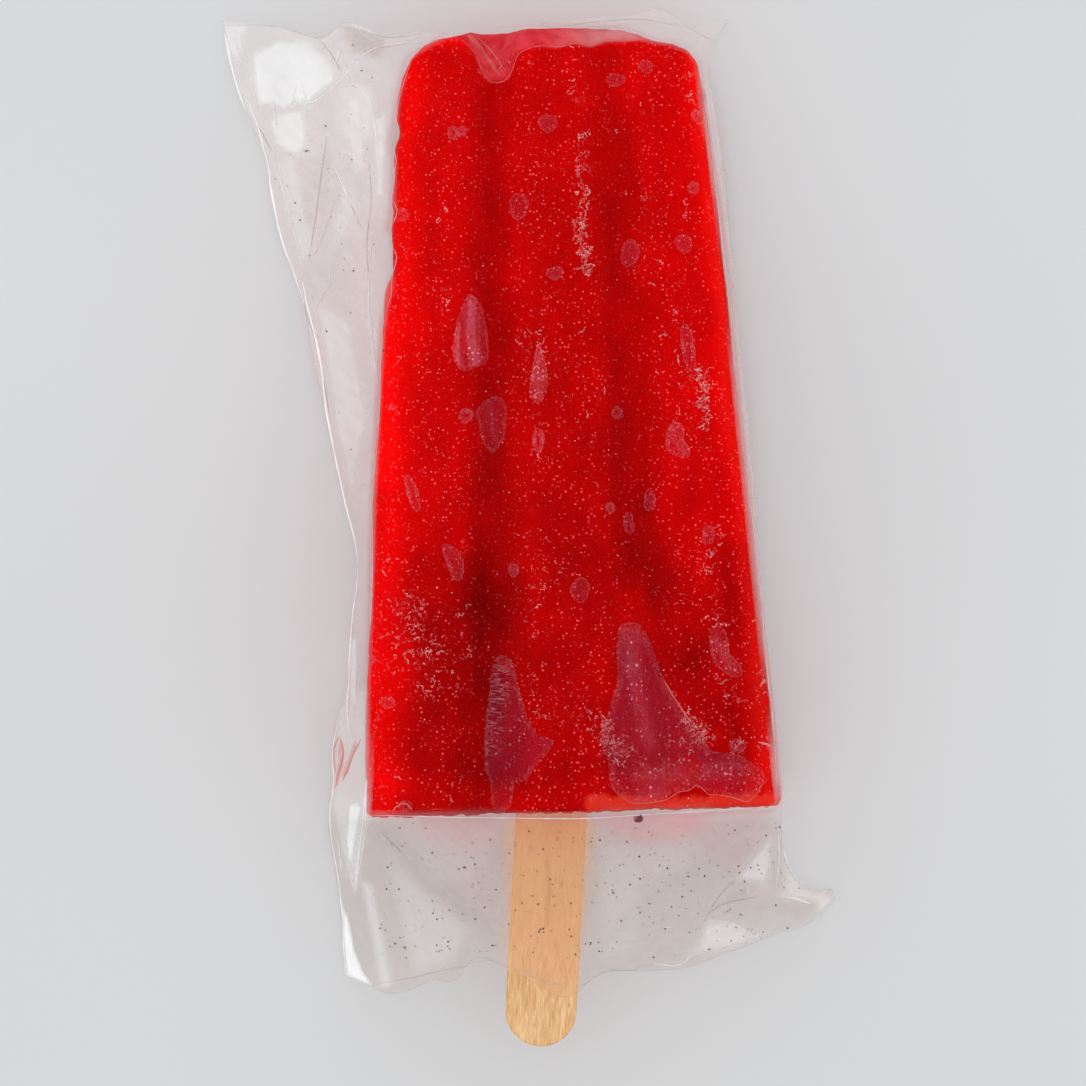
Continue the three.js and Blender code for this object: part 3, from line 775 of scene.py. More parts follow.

# Creases of the film, as (width in millimetres, how bright, line); a bright one is a painted glint, a dull one
# a painted shaded crease. The first ones are the bag's edges.
CREASES = [
    (0.45, 0.96, [(221, 34), (231, 74), (240, 102), (246, 112)]),
    (0.4, 0.98, [(246, 97), (259, 130), (269, 177), (276, 213), (284, 250), (290, 263), (295, 282),
                 (302, 304)]),
    (0.2, 0.78, [(235, 37), (244, 72)]),
    (0.22, 0.82, [(251, 74), (259, 117)]),
    (0.2, 0.78, [(273, 101), (277, 125)]),
    (0.2, 0.8, [(260, 126), (273, 149), (278, 175), (281, 183), (290, 215), (297, 244), (301, 264)]),
    (0.55, 1, [
        (303, 282), (308, 308), (313, 327), (318, 347), (321, 363), (324, 387), (326, 404), (334, 449),
        (344, 502), (354, 545), (358, 563)]),
    (0.4, 0.91, [(358, 563), (355, 596), (351, 637), (348, 692), (348, 718), (352, 742)]),
    (0.3, 0.86, [
        (346, 694), (339, 718), (333, 755), (334, 782), (330, 819), (331, 834), (339, 882), (341, 901),
        (344, 920), (345, 976), (372, 985)]),
    (0.3, 0.82, [(337, 834), (342, 872)]),
    (0.25, 0.78, [(366, 782), (365, 834), (355, 891)]),
    (0.2, 0.71, [(344, 832), (356, 889)]),
    (0.25, 0.86, [(294, 102), (302, 104), (315, 101), (330, 90), (344, 77), (356, 60)]),
    (0.2, 0.82, [(298, 83), (294, 93), (295, 102), (305, 102), (302, 85)]),
    (0.35, 0.78, [(327, 42), (331, 61), (334, 66)]),
    (0.35, 0.78, [(339, 49), (336, 64)]),
    (0.25, 0.75, [(330, 269), (329, 285), (321, 298), (317, 306)]),
    (0.25, 0.71, [(335, 199), (325, 230), (314, 256)]),
    (0.3, 0.69, [(372, 231), (369, 300), (378, 387)]),
    (0.25, 0.3, [(383, 834), (405, 855)]),
    (0.25, 0.78, [(777, 824), (779, 850), (776, 889)]),
    (0.3, 0.78, [(783, 848), (795, 864), (810, 880)]),
    (0.3, 0.84, [(782, 896), (797, 899), (812, 904)]),
    (0.25, 0.78, [(708, 920), (732, 923), (753, 934), (769, 932)]),
    (0.25, 0.78, [(694, 953), (680, 964), (653, 964)]),
    (0.14, 0.45, [(509, 964), (543, 981), (574, 988)]),
    (0.14, 0.45, [(372, 985), (410, 978), (455, 968), (509, 964)]),
    (0.14, 0.4, [(574, 988), (610, 975), (653, 964)]),
    (0.14, 0.6, [(772, 832), (755, 856), (737, 878)]),
    (0.18, 0.78, [(748, 884), (748, 894)]),
    (0.2, 0.78, [(664, 927), (673, 927)]),
    (0.18, 0.6, [(536, 26), (560, 26), (600, 21), (640, 19), (690, 28)]),
    (0.18, 0.6, [(222, 26), (262, 25), (300, 29), (345, 27), (390, 37), (440, 29)]),
    (0.2, 0.65, [(690, 28), (716, 40), (740, 14)]),
    (0.16, 0.6, [(700, 46), (716, 90), (728, 180), (742, 330), (756, 480), (768, 600), (776, 700)]),
    (0.2, 0.66, [(370, 815), (440, 817), (510, 818), (596, 818), (640, 815), (690, 812), (776, 806)]),
    (0.25, 0.78, [(356, 60), (376, 48), (398, 44), (412, 42)]),
    (0.12, 0.45, [
        (418, 51), (412, 60), (405, 79), (398, 105), (396, 129), (393, 147), (396, 158), (393, 182), (393, 201),
        (397, 208), (391, 229), (390, 244), (396, 253), (392, 277), (391, 296), (384, 315), (381, 329)]),
    (0.12, 0.45, [(381, 329), (380, 400), (373, 500), (369, 600), (367, 690), (366, 780), (369, 812)]),
    (0.16, 0.55, [
        (699, 80), (706, 110), (716, 190), (723, 250), (735, 340), (744, 430), (750, 500), (757, 560),
        (762, 610), (768, 680), (774, 740), (778, 795)]),
    (0.18, 0.24, [(327, 136), (322, 170), (316, 215), (309, 258)]),
    (0.16, 0.24, [(333, 167), (345, 192), (362, 229)]),
    (0.25, 0.9, [(333, 165), (340, 180), (352, 206)]),
    (0.16, 0.24, [(369, 160), (371, 205), (367, 240), (370, 290)]),
    (0.18, 0.24, [(319, 40), (330, 52), (341, 72)]),
    (0.16, 0.24, [(254, 120), (262, 133), (272, 152)]),
    (0.16, 0.24, [(300, 300), (312, 330), (322, 372), (330, 420)]),
    (0.25, 0.85, [(343, 86), (352, 84), (366, 95), (374, 120), (377, 143)]),
    (0.2, 0.8, [(342, 830), (348, 860), (354, 893)]),
    (0.3, 0.9, [(367, 780), (364, 812), (361, 839), (355, 891)]),
    (0.14, 0.35, [(704, 918), (716, 908), (759, 896)]),
    (0.14, 0.35, [(735, 879), (722, 893), (708, 913)]),
]
# The smear of juice on the film, beside the ice.
JUICE = [
    (0.3, 0.6, [(339, 736), (343, 748), (342, 762), (338, 775), (335, 789)]),
    (0.25, 0.4, [(339, 736), (335, 745), (334, 761), (336, 774)]),
    (0.35, 0.5, [(361, 739), (354, 753), (348, 769), (342, 782)]),
    (1.3, 0.0, [(341, 740), (341, 765), (337, 786)]),
    (1.0, 0.0, [(356, 741), (348, 765), (343, 780)]),
]
# Pale lines on the ice, as CREASES: where a flute runs out at the tip, and round the big pockets of air.
ICE_LINES = [
    (1.1, 0.14, [(464, 32), (482, 52), (500, 76)]),
    (0.25, 0.25, [(472, 32), (490, 50), (506, 72)]),
    (0.22, 0.12, [
        (448, 37), (463, 41), (474, 52), (480, 66), (485, 77), (496, 83), (507, 79), (513, 68), (518, 55),
        (530, 48), (545, 46), (560, 47), (575, 43), (590, 46), (605, 41), (625, 41), (645, 40), (668, 45),
        (688, 53)]),
    (0.16, 0.25, [
        (608, 784), (620, 796), (632, 803), (646, 803), (656, 802), (670, 798), (678, 792), (690, 790),
        (696, 785), (702, 788), (708, 794), (720, 795), (738, 799), (748, 802), (756, 794), (764, 780)]),
    (0.25, 0.3, [(664, 680), (672, 694), (683, 711), (692, 724)]),
    (0.4, 0.5, [(758, 742), (766, 744), (776, 748)]),
    (0.4, 0.45, [(760, 686), (766, 678), (770, 674)]),
    (0.25, 0.25, [(392, 812), (396, 807), (404, 803), (411, 808), (406, 813)]),
]
# Painted light and shade on the ice: where it is painted darker or brighter than its form alone makes it, as
# (how much brighter, reach, line).
ICE_LIGHT_AND_SHADE = [
    (-0.17, 85, [(462, 600), (455, 780)]), (-0.08, 42, [(630, 420), (632, 500)]),
    (-0.16, 38, [(738, 560), (750, 730)]), (-0.12, 60, [(640, 560), (690, 640)]),
    (-0.13, 48, [(694, 670), (730, 755)]), (-0.07, 45, [(565, 550), (612, 600)]),
    (-0.08, 34, [(430, 620), (450, 700)]), (-0.07, 26, [(646, 310), (647, 500)]),
    (-0.08, 26, [(530, 778), (620, 762)]), (0.1, 22, [(744, 310), (756, 500)]),
    (0.07, 34, [(685, 90), (700, 380)]), (0.2, 20, [(386, 330), (384, 480)]),
    (0.14, 26, [(385, 780), (520, 803)]), (0.14, 34, [(625, 600), (632, 622)]),
]
# Where the air is milkiest, as (reach, line).
PALE_STREAKS = [
    (13, [(632, 664), (637, 700), (648, 742)]), (12, [(640, 794), (662, 792)]),
    (14, [(640, 775), (690, 775), (740, 766)]), (9, [(470, 300), (471, 330), (474, 362)]),
    (5, [(458, 325), (456, 350), (460, 366)]), (15, [(628, 632), (634, 670)]), (7, [(539, 350), (538, 400)]),
    (8, [(716, 640), (732, 668)]), (6, [(488, 405), (496, 440)]), (8, [(672, 430), (684, 452)]),
]


def smoothed(outline, times=2):
    """A closed outline with its corners cut and rounded."""
    corners = np.array(outline, float)
    for _ in range(times):
        ahead = np.roll(corners, -1, 0)
        corners = np.stack([0.75 * corners + 0.25 * ahead, 0.25 * corners + 0.75 * ahead], 1).reshape(-1, 2)
    return corners


def reach_of(outline, centre, angles):
    """How far an outline lies from its centre in each direction, in points of the camera's frame."""
    corners = smoothed(outline) - np.array(centre, float)
    ways = np.arctan2(corners[:, 1], corners[:, 0])
    order = np.argsort(ways)
    return np.interp(angles, ways[order], np.hypot(*corners[order].T), period=2 * math.pi)


def face_under(tree, at, fallback):
    """How high a surface lies at a place, or the fallback beside it."""
    hit = tree.ray_cast(Vector((at.x, at.y, ABOVE_ALL)), Vector((0, 0, -1)))[0]
    return hit.z if hit else fallback


def on_surface(tree, x, y, lift):
    """The place on a surface, or on its nearest edge, that the camera sees at a point of its frame."""
    height = 10 * MM
    for _ in range(3):
        at = seen(x, y, height)
        height = face_under(tree, at, None)
        if height is None:
            tries = [seen(x, y, level * MM) for level in (1, 4, 8, 12, 16)]
            nearest = [tree.find_nearest(place)[0] for place in tries]
            best = min(zip(nearest, tries), key=lambda pair: (pair[0] - pair[1]).length)
            return best[0] + Vector((0, 0, lift))
    return Vector((at.x, at.y, height + lift))


RIDGED_LINE = [(504, 664), (497, 700), (489, 745)]  # where the film on the air is finely ridged
POCKET_RIM = 0.16 * MM
POCKET_SKIN = 0.5 * MM


def air_pocket(ice_tree, centre, reach, corners, cuts, veil, deep):
    """A flat lens of air on the ice: a fan of triangles drawn out to an outline, with a raised rim."""
    bpy.ops.mesh.primitive_circle_add(vertices=corners, radius=1, fill_type="TRIFAN")
    pocket = settle(active())
    edit()
    bpy.ops.mesh.select_all(action="SELECT")
    bpy.ops.mesh.subdivide(number_cuts=cuts)
    done()
    start = points_of(pocket)
    ways = np.arctan2(start[:, 1], start[:, 0])
    turn = math.pi / corners
    share = np.hypot(start[:, 0], start[:, 1]) * np.cos((ways % (2 * turn)) - turn) / math.cos(turn)
    out = share * reach(ways)
    laid = []
    for x, y in zip(centre[0] + out * np.cos(ways), centre[1] + out * np.sin(ways)):
        at = seen(x, y, FACE_LEVEL)
        at.z = face_under(ice_tree, at, REST + 15 * MM)
        laid.append(at)
    laid = np.array(laid)
    laid[:, 2] += 0.05 * MM + POCKET_RIM * bump(share, 0.93, 0.09) - 0.12 * MM * smooth(share, 0.95, 1)
    move_points(pocket, laid)
    width = reach(ways) * VIEW_WIDTH / FRAME_POINTS
    to_rim = (1 - share) * width / MM
    # How near the rim each point lies, for a painted highlight along it.
    paint(pocket, "rim", smooth(to_rim, 0.45, 0.1))
    x, y = frame_points(laid)
    milky = sum(bump(off_line(x, y, line), 0, spread) for spread, line in PALE_STREAKS)
    paint(pocket, "veil", veil * (0.18 + 2.3 * np.clip(milky, 0, 1.2)))
    paint(pocket, "deep", deep * (1 - 0.2 * np.clip(milky, 0, 1)) * (1 - 0.7 * smooth(y, 752, 796)))
    paint(pocket, "ridged", bump(off_line(x, y, RIDGED_LINE), 0, 20))
    modify(pocket, "SOLIDIFY", thickness=POCKET_SKIN, offset=-1)
    return pocket


def joined(parts):
    deselect()
    for part in parts:
        part.select_set(True)
    bpy.context.view_layer.objects.active = parts[0]
    bpy.ops.object.join()
    return active()


def model_pockets(ice_tree):
    pockets = []
    for centre, veil, deep, outline in POCKETS:
        def reach(ways, outline=outline, centre=centre):
            return reach_of(outline, centre, ways)
        pockets.append(air_pocket(ice_tree, centre, reach, 64, 5, veil, deep))
    for x, y, wide, high, veil in OVALS:
        def reach(ways, wide=wide, high=high, x=x):
            uneven = 1 + 0.09 * np.sin(2 * ways + x) + 0.06 * np.sin(3 * ways + 2 * x)
            return uneven * wide * high / np.hypot(high * np.cos(ways), wide * np.sin(ways))
        pockets.append(air_pocket(ice_tree, (x, y), reach, 28, 2, 0.8 * veil, 0.22))
    return joined(pockets)


def model_line(tree, lines, lift, name):
    """Thin round ridges laid over a surface along lines of the camera's frame, tapered at their ends."""
    ridges = []
    for width, bright, line in lines:
        curve = bpy.data.curves.new(name, "CURVE")
        curve.dimensions = "3D"
        curve.bevel_depth = 1
        curve.bevel_resolution = 1
        curve.use_fill_caps = True
        spline = curve.splines.new("POLY")
        places = through_corners(line)
        spline.points.add(len(places) - 1)
        for i, (x, y) in enumerate(places):
            at = on_surface(tree, x, y, lift)
            end = min(i, len(places) - 1 - i) / (len(places) - 1)
            spline.points[i].co = (*at, 1)
            uneven = 0.75 + 0.5 * noise.noise(Vector((x / 17, y / 17, width)))
            spline.points[i].radius = width / 2 * MM * (0.2 + 0.8 * min(1, 5 * end)) * uneven
        choose(placed(name, curve))
        bpy.ops.object.convert(target="MESH")
        ridge = active()
        paint(ridge, "bright", bright)
        ridges.append(ridge)
    return joined(ridges)


def through_corners(line):
    """Evenly spread places along a smooth line through its corners."""
    corners = np.array(line, float)
    run = np.concatenate([[0], np.cumsum(np.hypot(*np.diff(corners, axis=0).T))])
    if len(corners) == 2:
        corners = np.array([corners[0], corners.mean(0), corners[1]])
        run = np.array([0, run[-1] / 2, run[-1]])
    at = np.linspace(0, run[-1], max(5, int(run[-1] / 5)))
    return np.stack([through(list(zip(run, corners[:, axis])), at) for axis in (0, 1)], 1)


def mark_blank():
    """One frost mark: a small bent sliver, one unit long."""
    bpy.ops.mesh.primitive_cylinder_add(vertices=5, radius=0.5, depth=1, end_fill_type="TRIFAN")
    mark = settle(active())
    edit()
    bpy.ops.mesh.select_all(action="SELECT")
    bpy.ops.transform.rotate(value=math.pi / 2, orient_axis="X", center_override=(0, 0, 0))
    pick(mark, "EDGE", lambda a, b: abs(a.y - b.y) > 0.9)
    bpy.ops.mesh.subdivide(number_cuts=3)
    done()
    points = points_of(mark)
    taper = 1 - 0.75 * np.abs(2 * points[:, 1]) ** 2
    points[:, 0] = points[:, 0] * taper + 0.5 * np.sin(math.pi * points[:, 1])
    points[:, 2] *= taper
    move_points(mark, points)
    return mark


def strewn(blank, places):
    """Copies of a small blank, each at its own place, turn, length, width and brightness, in one piece."""
    copies = []
    for at, turn, length, width, height, bright in places:
        copy = placed(blank.name, blank.data.copy())
        size = Matrix.Diagonal((width, length, height, 1))
        copy.data.transform(Matrix.Translation(at) @ Matrix.Rotation(turn, 4, "Z") @ size)
        paint(copy, "bright", bright)
        copies.append(copy)
    bpy.data.objects.remove(blank)
    return joined(copies)


def on_ice(ice_tree, x, y, lift):
    at = seen(x, y, FACE_LEVEL)
    at.z = face_under(ice_tree, at, -1)
    if at.z < 0:
        return None
    at = seen(x, y, at.z)
    at.z = face_under(ice_tree, at, -1) + lift
    return at if at.z > UPPER_SIDE else None


def frost_mark_places(ice_tree):
    """Frost marks in little crooked chains, thickest along the middle of each patch."""
    draw = random.Random(4)
    places = []
    for line, reach, count in FROST_PATCHES:
        spine = through_corners(line)
        for _ in range(int(0.62 * count)):
            x, y = spine[draw.randrange(len(spine))]
            x, y = x + draw.gauss(0, reach * 0.55), y + draw.gauss(0, reach * 0.55)
            way = draw.uniform(0, 2 * math.pi)
            bright = draw.random() ** (1.0 if count > BRIGHT_PATCH else 2.3)
            for _ in range(draw.randint(2, 6)):
                way += draw.gauss(0, 0.9)
                step = draw.uniform(1.1, 2.5)
                x, y = x + step * math.cos(way), y + step * math.sin(way)
                at = on_ice(ice_tree, x, y, 0.06 * MM)
                if at is None:
                    continue
                long = draw.uniform(0.12, 0.32) * MM
                thin = draw.uniform(0.1, 0.18) * MM
                turn = math.pi / 2 - way + draw.gauss(0, 0.4)
                places.append((at, turn, long, thin, 0.1 * MM, bright * draw.uniform(0.4, 1)))
    return places


SPECK_COUNT = 5300


def frost_speck_places(ice_tree):
    """Tiny crystals all over the face: closer together on the ribs and in cloudy drifts."""
    draw = random.Random(8)
    places = []
    while len(places) < SPECK_COUNT:
        v = draw.uniform(0.5 * MM, ICE_LENGTH - MM)
        u = draw.uniform(-1, 1) * float(half_width(v))
        drift = 0.5 + 0.9 * noise.noise(Vector((u / (6 * MM), v / (9 * MM), 2)))
        if draw.random() > drift * (1 - 0.55 * float(flute_share(u, v))):
            continue
        at = Vector((u, v, 0))
        at.z = face_under(ice_tree, at, -1) + 0.04 * MM
        if at.z < UPPER_SIDE:
            continue
        wide = draw.uniform(0.07, 0.18) * MM
        bright = draw.random() ** 4.2 * (1 - 0.45 * float(smooth(v, 60 * MM, 100 * MM)))
        places.append((at, draw.uniform(0, 3.1), wide * draw.uniform(1, 1.2), wide, 0.1 * MM, bright))
    return places


def grain_blank():
    bpy.ops.mesh.primitive_ico_sphere_add(subdivisions=1, radius=0.5)
    return settle(active())


GRIT_ON_FOOT = 340  # grains on the film below the ice
GRIT_ON_FLAP = 40
GRIT_SPOTS = [
    (353, 45), (290, 155), (306, 151), (302, 99), (275, 179), (364, 128), (300, 220), (323, 275),
    (392, 844), (464, 867), (482, 869), (437, 919), (373, 906), (382, 928), (390, 947), (406, 949), (415, 946),
    (393, 870), (426, 867), (399, 889), (516, 846), (543, 849), (573, 842), (564, 870), (561, 884), (537, 871),
    (520, 890), (522, 903), (538, 938), (606, 845), (602, 856), (600, 830), (695, 858), (697, 874), (605, 883),
    (586, 942), (599, 951), (781, 873), (785, 880), (794, 910), (775, 930), (717, 941), (799, 888),
]


def grit_places(film_tree):
    """Dark grains on the loose film, and a few more below the ice."""
    draw = random.Random(15)
    spots = list(GRIT_SPOTS)
    for _ in range(GRIT_ON_FOOT):
        spots.append((draw.uniform(378, 790), draw.uniform(822, 958)))
    for _ in range(GRIT_ON_FLAP):
        y = draw.uniform(60, 520)
        spots.append((draw.uniform(250 + y * 0.19, 385), y))
    places = []
    for x, y in spots:
        at = seen(x, y, 10 * MM)
        at = seen(x, y, face_under(film_tree, at, -1))
        at.z = face_under(film_tree, at, -1)
        if at.z < 0.5 * MM:
            continue
        at.z += 0.06 * MM
        wide = draw.choice((0.12, 0.15, 0.18, 0.22, 0.3)) * MM
        places.append((at, 0, wide, wide, 0.1 * MM, draw.random()))
    return places


DARK_SPECK_AT = (638, 817)


def model_dark_speck(film_tree):
    """The one large dark fleck, just below the flat end of the ice."""
    height = 18 * MM
    at = seen(*DARK_SPECK_AT, height)
    at.z = face_under(film_tree, at, height) + 0.05 * MM
    bpy.ops.mesh.primitive_ico_sphere_add(subdivisions=4, radius=0.5)
    fleck = settle(active())
    points = points_of(fleck)
    uneven = [1 + 0.35 * noise.noise(Vector(p) * 2.6) for p in points]
    move_points(fleck, points * np.array(uneven)[:, None] * np.array([1.3, 1.0, 0.35]) * MM)
    fleck.data.transform(Matrix.Translation(at))
    return fleck


def paint_film(film, free):
    """How milky the film is at each point, with its painted highlights, its painted shade and the painted red
    light that the ice throws on it.
    """
    points = points_of(film)
    x, y = frame_points(points)
    on_pop = inside(x, y, ICE_OUTLINE, 3)
    flap = smooth(x, 400, 370) * smooth(y, 700, 560)
    foot = smooth(y, 808, 826)
    rim = 1 - on_pop
    cover = 0.0004 + rim * (0.1 + 0.06 * free + 0.14 * flap + 0.04 * foot)
    # A band of film on the right-hand slope, painted thicker and paler as lit film.
    right_band = smooth(x, 696, 716) * smooth(y, 812, 770) * smooth(y, 44, 90) * rim
    cover += 0.6 * right_band
    # Painted red light thrown from the ice: along its outline, on the right band, on the flap and on the flats.
    painted_red_bounce = np.maximum(bump(off_line(x, y, ICE_OUTLINE), 0, 9) * rim, 0.2 * right_band)
    painted_red_bounce += 0.1 * flap * smooth(y, 60, 300)
    # Painted highlights: glare patches and whiter, lit flats.
    painted_highlight = np.zeros(len(x))
    # Painted shade: the film below the ice and the duller flats.
    painted_shade = foot.copy()
    for outline, soft, more, shade, rose in FACETS:
        share = inside(x, y, outline, soft)
        cover += more * share
        painted_highlight += max(shade, 0) * share
        painted_shade += max(-shade, 0) * share
        painted_red_bounce += rose * share
    for outline, soft, milky, whiteness in GLARES:
        share = inside(x, y, outline, soft)
        cover = np.maximum(cover, milky * share)
        painted_highlight = np.maximum(painted_highlight, whiteness * share)
    painted_highlight = np.clip(painted_highlight, 0, 1)
    tip = inside(x, y, TIP_BAND, 3)
    cover += (0.01 + 0.135 * smooth(x, 540, 620) - cover) * tip
    u, v, _ = points.T
    reach = 38 + 8 * smooth(y, 960, 830) + 3 * lumps(flat(0 * u, v), 2.5 * MM, 7)
    amber = smooth(off_line(x, y, STICK_AXIS) - reach, 6, -6) * smooth(y, 811, 818)
    cover = np.maximum(cover, 0.28 * amber * (1 - painted_highlight))
    mist = lumps(flat(u, 0.4 * v), 4 * MM) + 0.6 * lumps(flat(u, 0.5 * v), 1.6 * MM)
    mist += 0.9 * lumps(flat(0.8 * (u + v), 0.12 * (u - v)), MM)
    mist += 1.6 * amber * lumps(flat(u, 0.12 * v), 0.8 * MM, 5)
    cover *= 1 + 0.24 * mist
    paint(film, "cover", np.clip(cover, 0, 0.9))
    paint(film, "painted_highlight", painted_highlight)
    paint(film, "painted_shade", np.clip(painted_shade, 0, 1.6) * (1 - painted_highlight))
    paint(film, "amber", amber * (1 - painted_highlight))
    paint(film, "painted_red_bounce", np.clip(painted_red_bounce, 0, 1) * (1 - painted_highlight))


# ---- Materials ----

def new_material(name):
    material = bpy.data.materials.new(name)
    material.use_nodes = True
    tree = material.node_tree
    return material, tree, tree.nodes["Principled BSDF"]


def fill(tree, node, inputs):
    """Gives inputs of a node, by name or number, their values or the sockets that feed them."""
    for name, value in inputs.items():
        if isinstance(value, bpy.types.NodeSocket):
            tree.links.new(value, node.inputs[name])
        else:
            node.inputs[name].default_value = value


def put(tree, kind, inputs=None, **settings):
    """Adds a node with its settings and its inputs."""
    made = tree.nodes.new(kind)
    for name, value in settings.items():
        setattr(made, name, value)
    fill(tree, made, inputs or {})
    return made


def calc(tree, operation, a, b=0.0, clamp=False):
    return put(tree, "ShaderNodeMath", {0: a, 1: b}, operation=operation, use_clamp=clamp).outputs[0]


def vary(tree, value, cloud, reach, clamp=False):
    """A value that goes up and down by half the reach with a cloud."""
    return calc(tree, "ADD", value, calc(tree, "MULTIPLY", calc(tree, "SUBTRACT", cloud, 0.5), reach), clamp)


def rise(tree, value, low, high, to_low=0.0, to_high=1.0):
    ends = {"Value": value, "From Min": low, "From Max": high, "To Min": to_low, "To Max": to_high}
    return put(tree, "ShaderNodeMapRange", ends, interpolation_type="SMOOTHSTEP").outputs["Result"]


def blend(tree, share, a, b):
    return put(tree, "ShaderNodeMix", {0: share, 6: a, 7: b}, data_type="RGBA").outputs[2]


def cover_with(tree, colour, *layers):
    """A colour with others over it in turn, each as (its share, colour)."""
    for share, over in layers:
        colour = blend(tree, share, colour, over)
    return colour


def ramp(tree, value, *stops):
    """The colour at a value, from stops of (place, colour)."""
    made = put(tree, "ShaderNodeValToRGB", {0: value})
    elements = made.color_ramp.elements
    for _ in stops[2:]:
        elements.new(0.5)
    for element, (at, colour) in zip(elements, stops):
        element.position, element.color = at, colour
    return made.outputs[0]


def stretch(tree, where, scale):
    return put(tree, "ShaderNodeMapping", {"Vector": where, "Scale": scale}).outputs[0]


def relief(tree, height, depth):
    """A normal that follows a height, for fine forms up to the given depth."""
    return put(tree, "ShaderNodeBump", {"Height": height, "Strength": 0.3, "Distance": depth}).outputs[0]


def place(tree, scale=(1, 1, 1), turn=0.0):
    """Object coordinates in millimetres, stretched and turned about the upright axis."""
    where = put(tree, "ShaderNodeTexCoord").outputs["Object"]
    inputs = {"Vector": where, "Scale": tuple(s / MM for s in scale), "Rotation": (0, 0, turn)}
    return put(tree, "ShaderNodeMapping", inputs).outputs[0]


def clouds(tree, where, size, detail=2.0, roughness=0.5):
    inputs = {"Vector": where, "Scale": 1 / size, "Detail": detail, "Roughness": roughness}
    return put(tree, "ShaderNodeTexNoise", inputs).outputs["Fac"]


def kept(tree, name):
    return put(tree, "ShaderNodeAttribute", attribute_name=name).outputs["Fac"]


def let_through(tree, from_lamps, from_around):
    """1 for what the camera sees, and less for light on its way to something behind, by the shares given."""
    path = put(tree, "ShaderNodeLightPath").outputs
    lamps = calc(tree, "MULTIPLY", path["Is Shadow Ray"], from_lamps)
    around = calc(tree, "MULTIPLY", path["Is Diffuse Ray"], from_around)
    return calc(tree, "SUBTRACT", 1.0, calc(tree, "ADD", lamps, around))


def specks_group():
    """Small round specks strewn over a surface, with their own sizes, thicker where a cloud says so."""
    group = bpy.data.node_groups.new("strewn_specks", "ShaderNodeTree")
    group.interface.new_socket(name="Vector", in_out="INPUT", socket_type="NodeSocketVector")
    for name in ("Spacing", "Size", "Share"):
        group.interface.new_socket(name=name, in_out="INPUT", socket_type="NodeSocketFloat")
    group.interface.new_socket(name="Mask", in_out="OUTPUT", socket_type="NodeSocketFloat")
    given = group.nodes.new("NodeGroupInput").outputs
    scale = calc(group, "DIVIDE", 1.0, given["Spacing"])
    cells = put(group, "ShaderNodeTexVoronoi", {"Vector": given["Vector"], "Scale": scale})
    draw = put(group, "ShaderNodeSeparateColor", {0: cells.outputs["Color"]}).outputs
    reach = calc(group, "MULTIPLY", given["Size"], calc(group, "ADD", draw[1], 0.35))
    near = calc(group, "SUBTRACT", reach, cells.outputs["Distance"])
    spot = rise(group, near, 0.0, 0.06)
    there = calc(group, "LESS_THAN", draw[0], given["Share"])
    put(group, "NodeGroupOutput", {"Mask": calc(group, "MULTIPLY", spot, there)})
    return group


SPECKS = specks_group()


def specks(tree, where, spacing, size, share):
    inputs = {"Vector": where, "Spacing": spacing, "Size": size, "Share": share}
    return put(tree, "ShaderNodeGroup", inputs, node_tree=SPECKS).outputs["Mask"]


def ice_material():
    """Red ice with painted light and shade: paler on the ribs, glowing along the edges, darker deep in the
    flutes, full of tiny crystals.
    """
    material, tree, shader = new_material("red_ice")
    where = place(tree)
    mottle = clouds(tree, place(tree, (1, 0.55, 1)), 4.2, 3, 0.6)
    grain = clouds(tree, where, 0.5, 2, 0.7)
    # The red is painted light and shade, from dark in the flutes to glowing at the edges, varied by cloud.
    lit = vary(tree, vary(tree, kept(tree, "painted_light"), mottle, 0.42), grain, 0.2, True)
    red = ramp(tree, lit, (0.0, linear(90, 0, 2)), (0.5, linear(190, 1, 2)), (1.0, linear(255, 3, 3)))
    tiny = specks(tree, where, 0.55, 0.24, rise(tree, mottle, 0.3, 0.7, 0.5, 1.0))
    fleck = calc(tree, "MULTIPLY", tiny, kept(tree, "frost"))
    patch = rise(tree, clouds(tree, where, 1.8, 3, 0.6), 0.35, 0.65)
    colour = cover_with(
        tree, red,
        (calc(tree, "MULTIPLY", fleck, 0.7), linear(255, 84, 90)),
        (kept(tree, "milk"), linear(255, 70, 50)),
        (kept(tree, "end"), blend(tree, patch, linear(204, 18, 36), linear(224, 52, 66))),
    )
    fill(tree, shader, {
        "Base Color": colour, "Roughness": 0.45, "Specular IOR Level": 0.01,
        "Alpha": let_through(tree, 0.88, LIGHT_THROUGH_ICE), "Normal": relief(tree, grain, 0.1 * MM),
    })
    return material


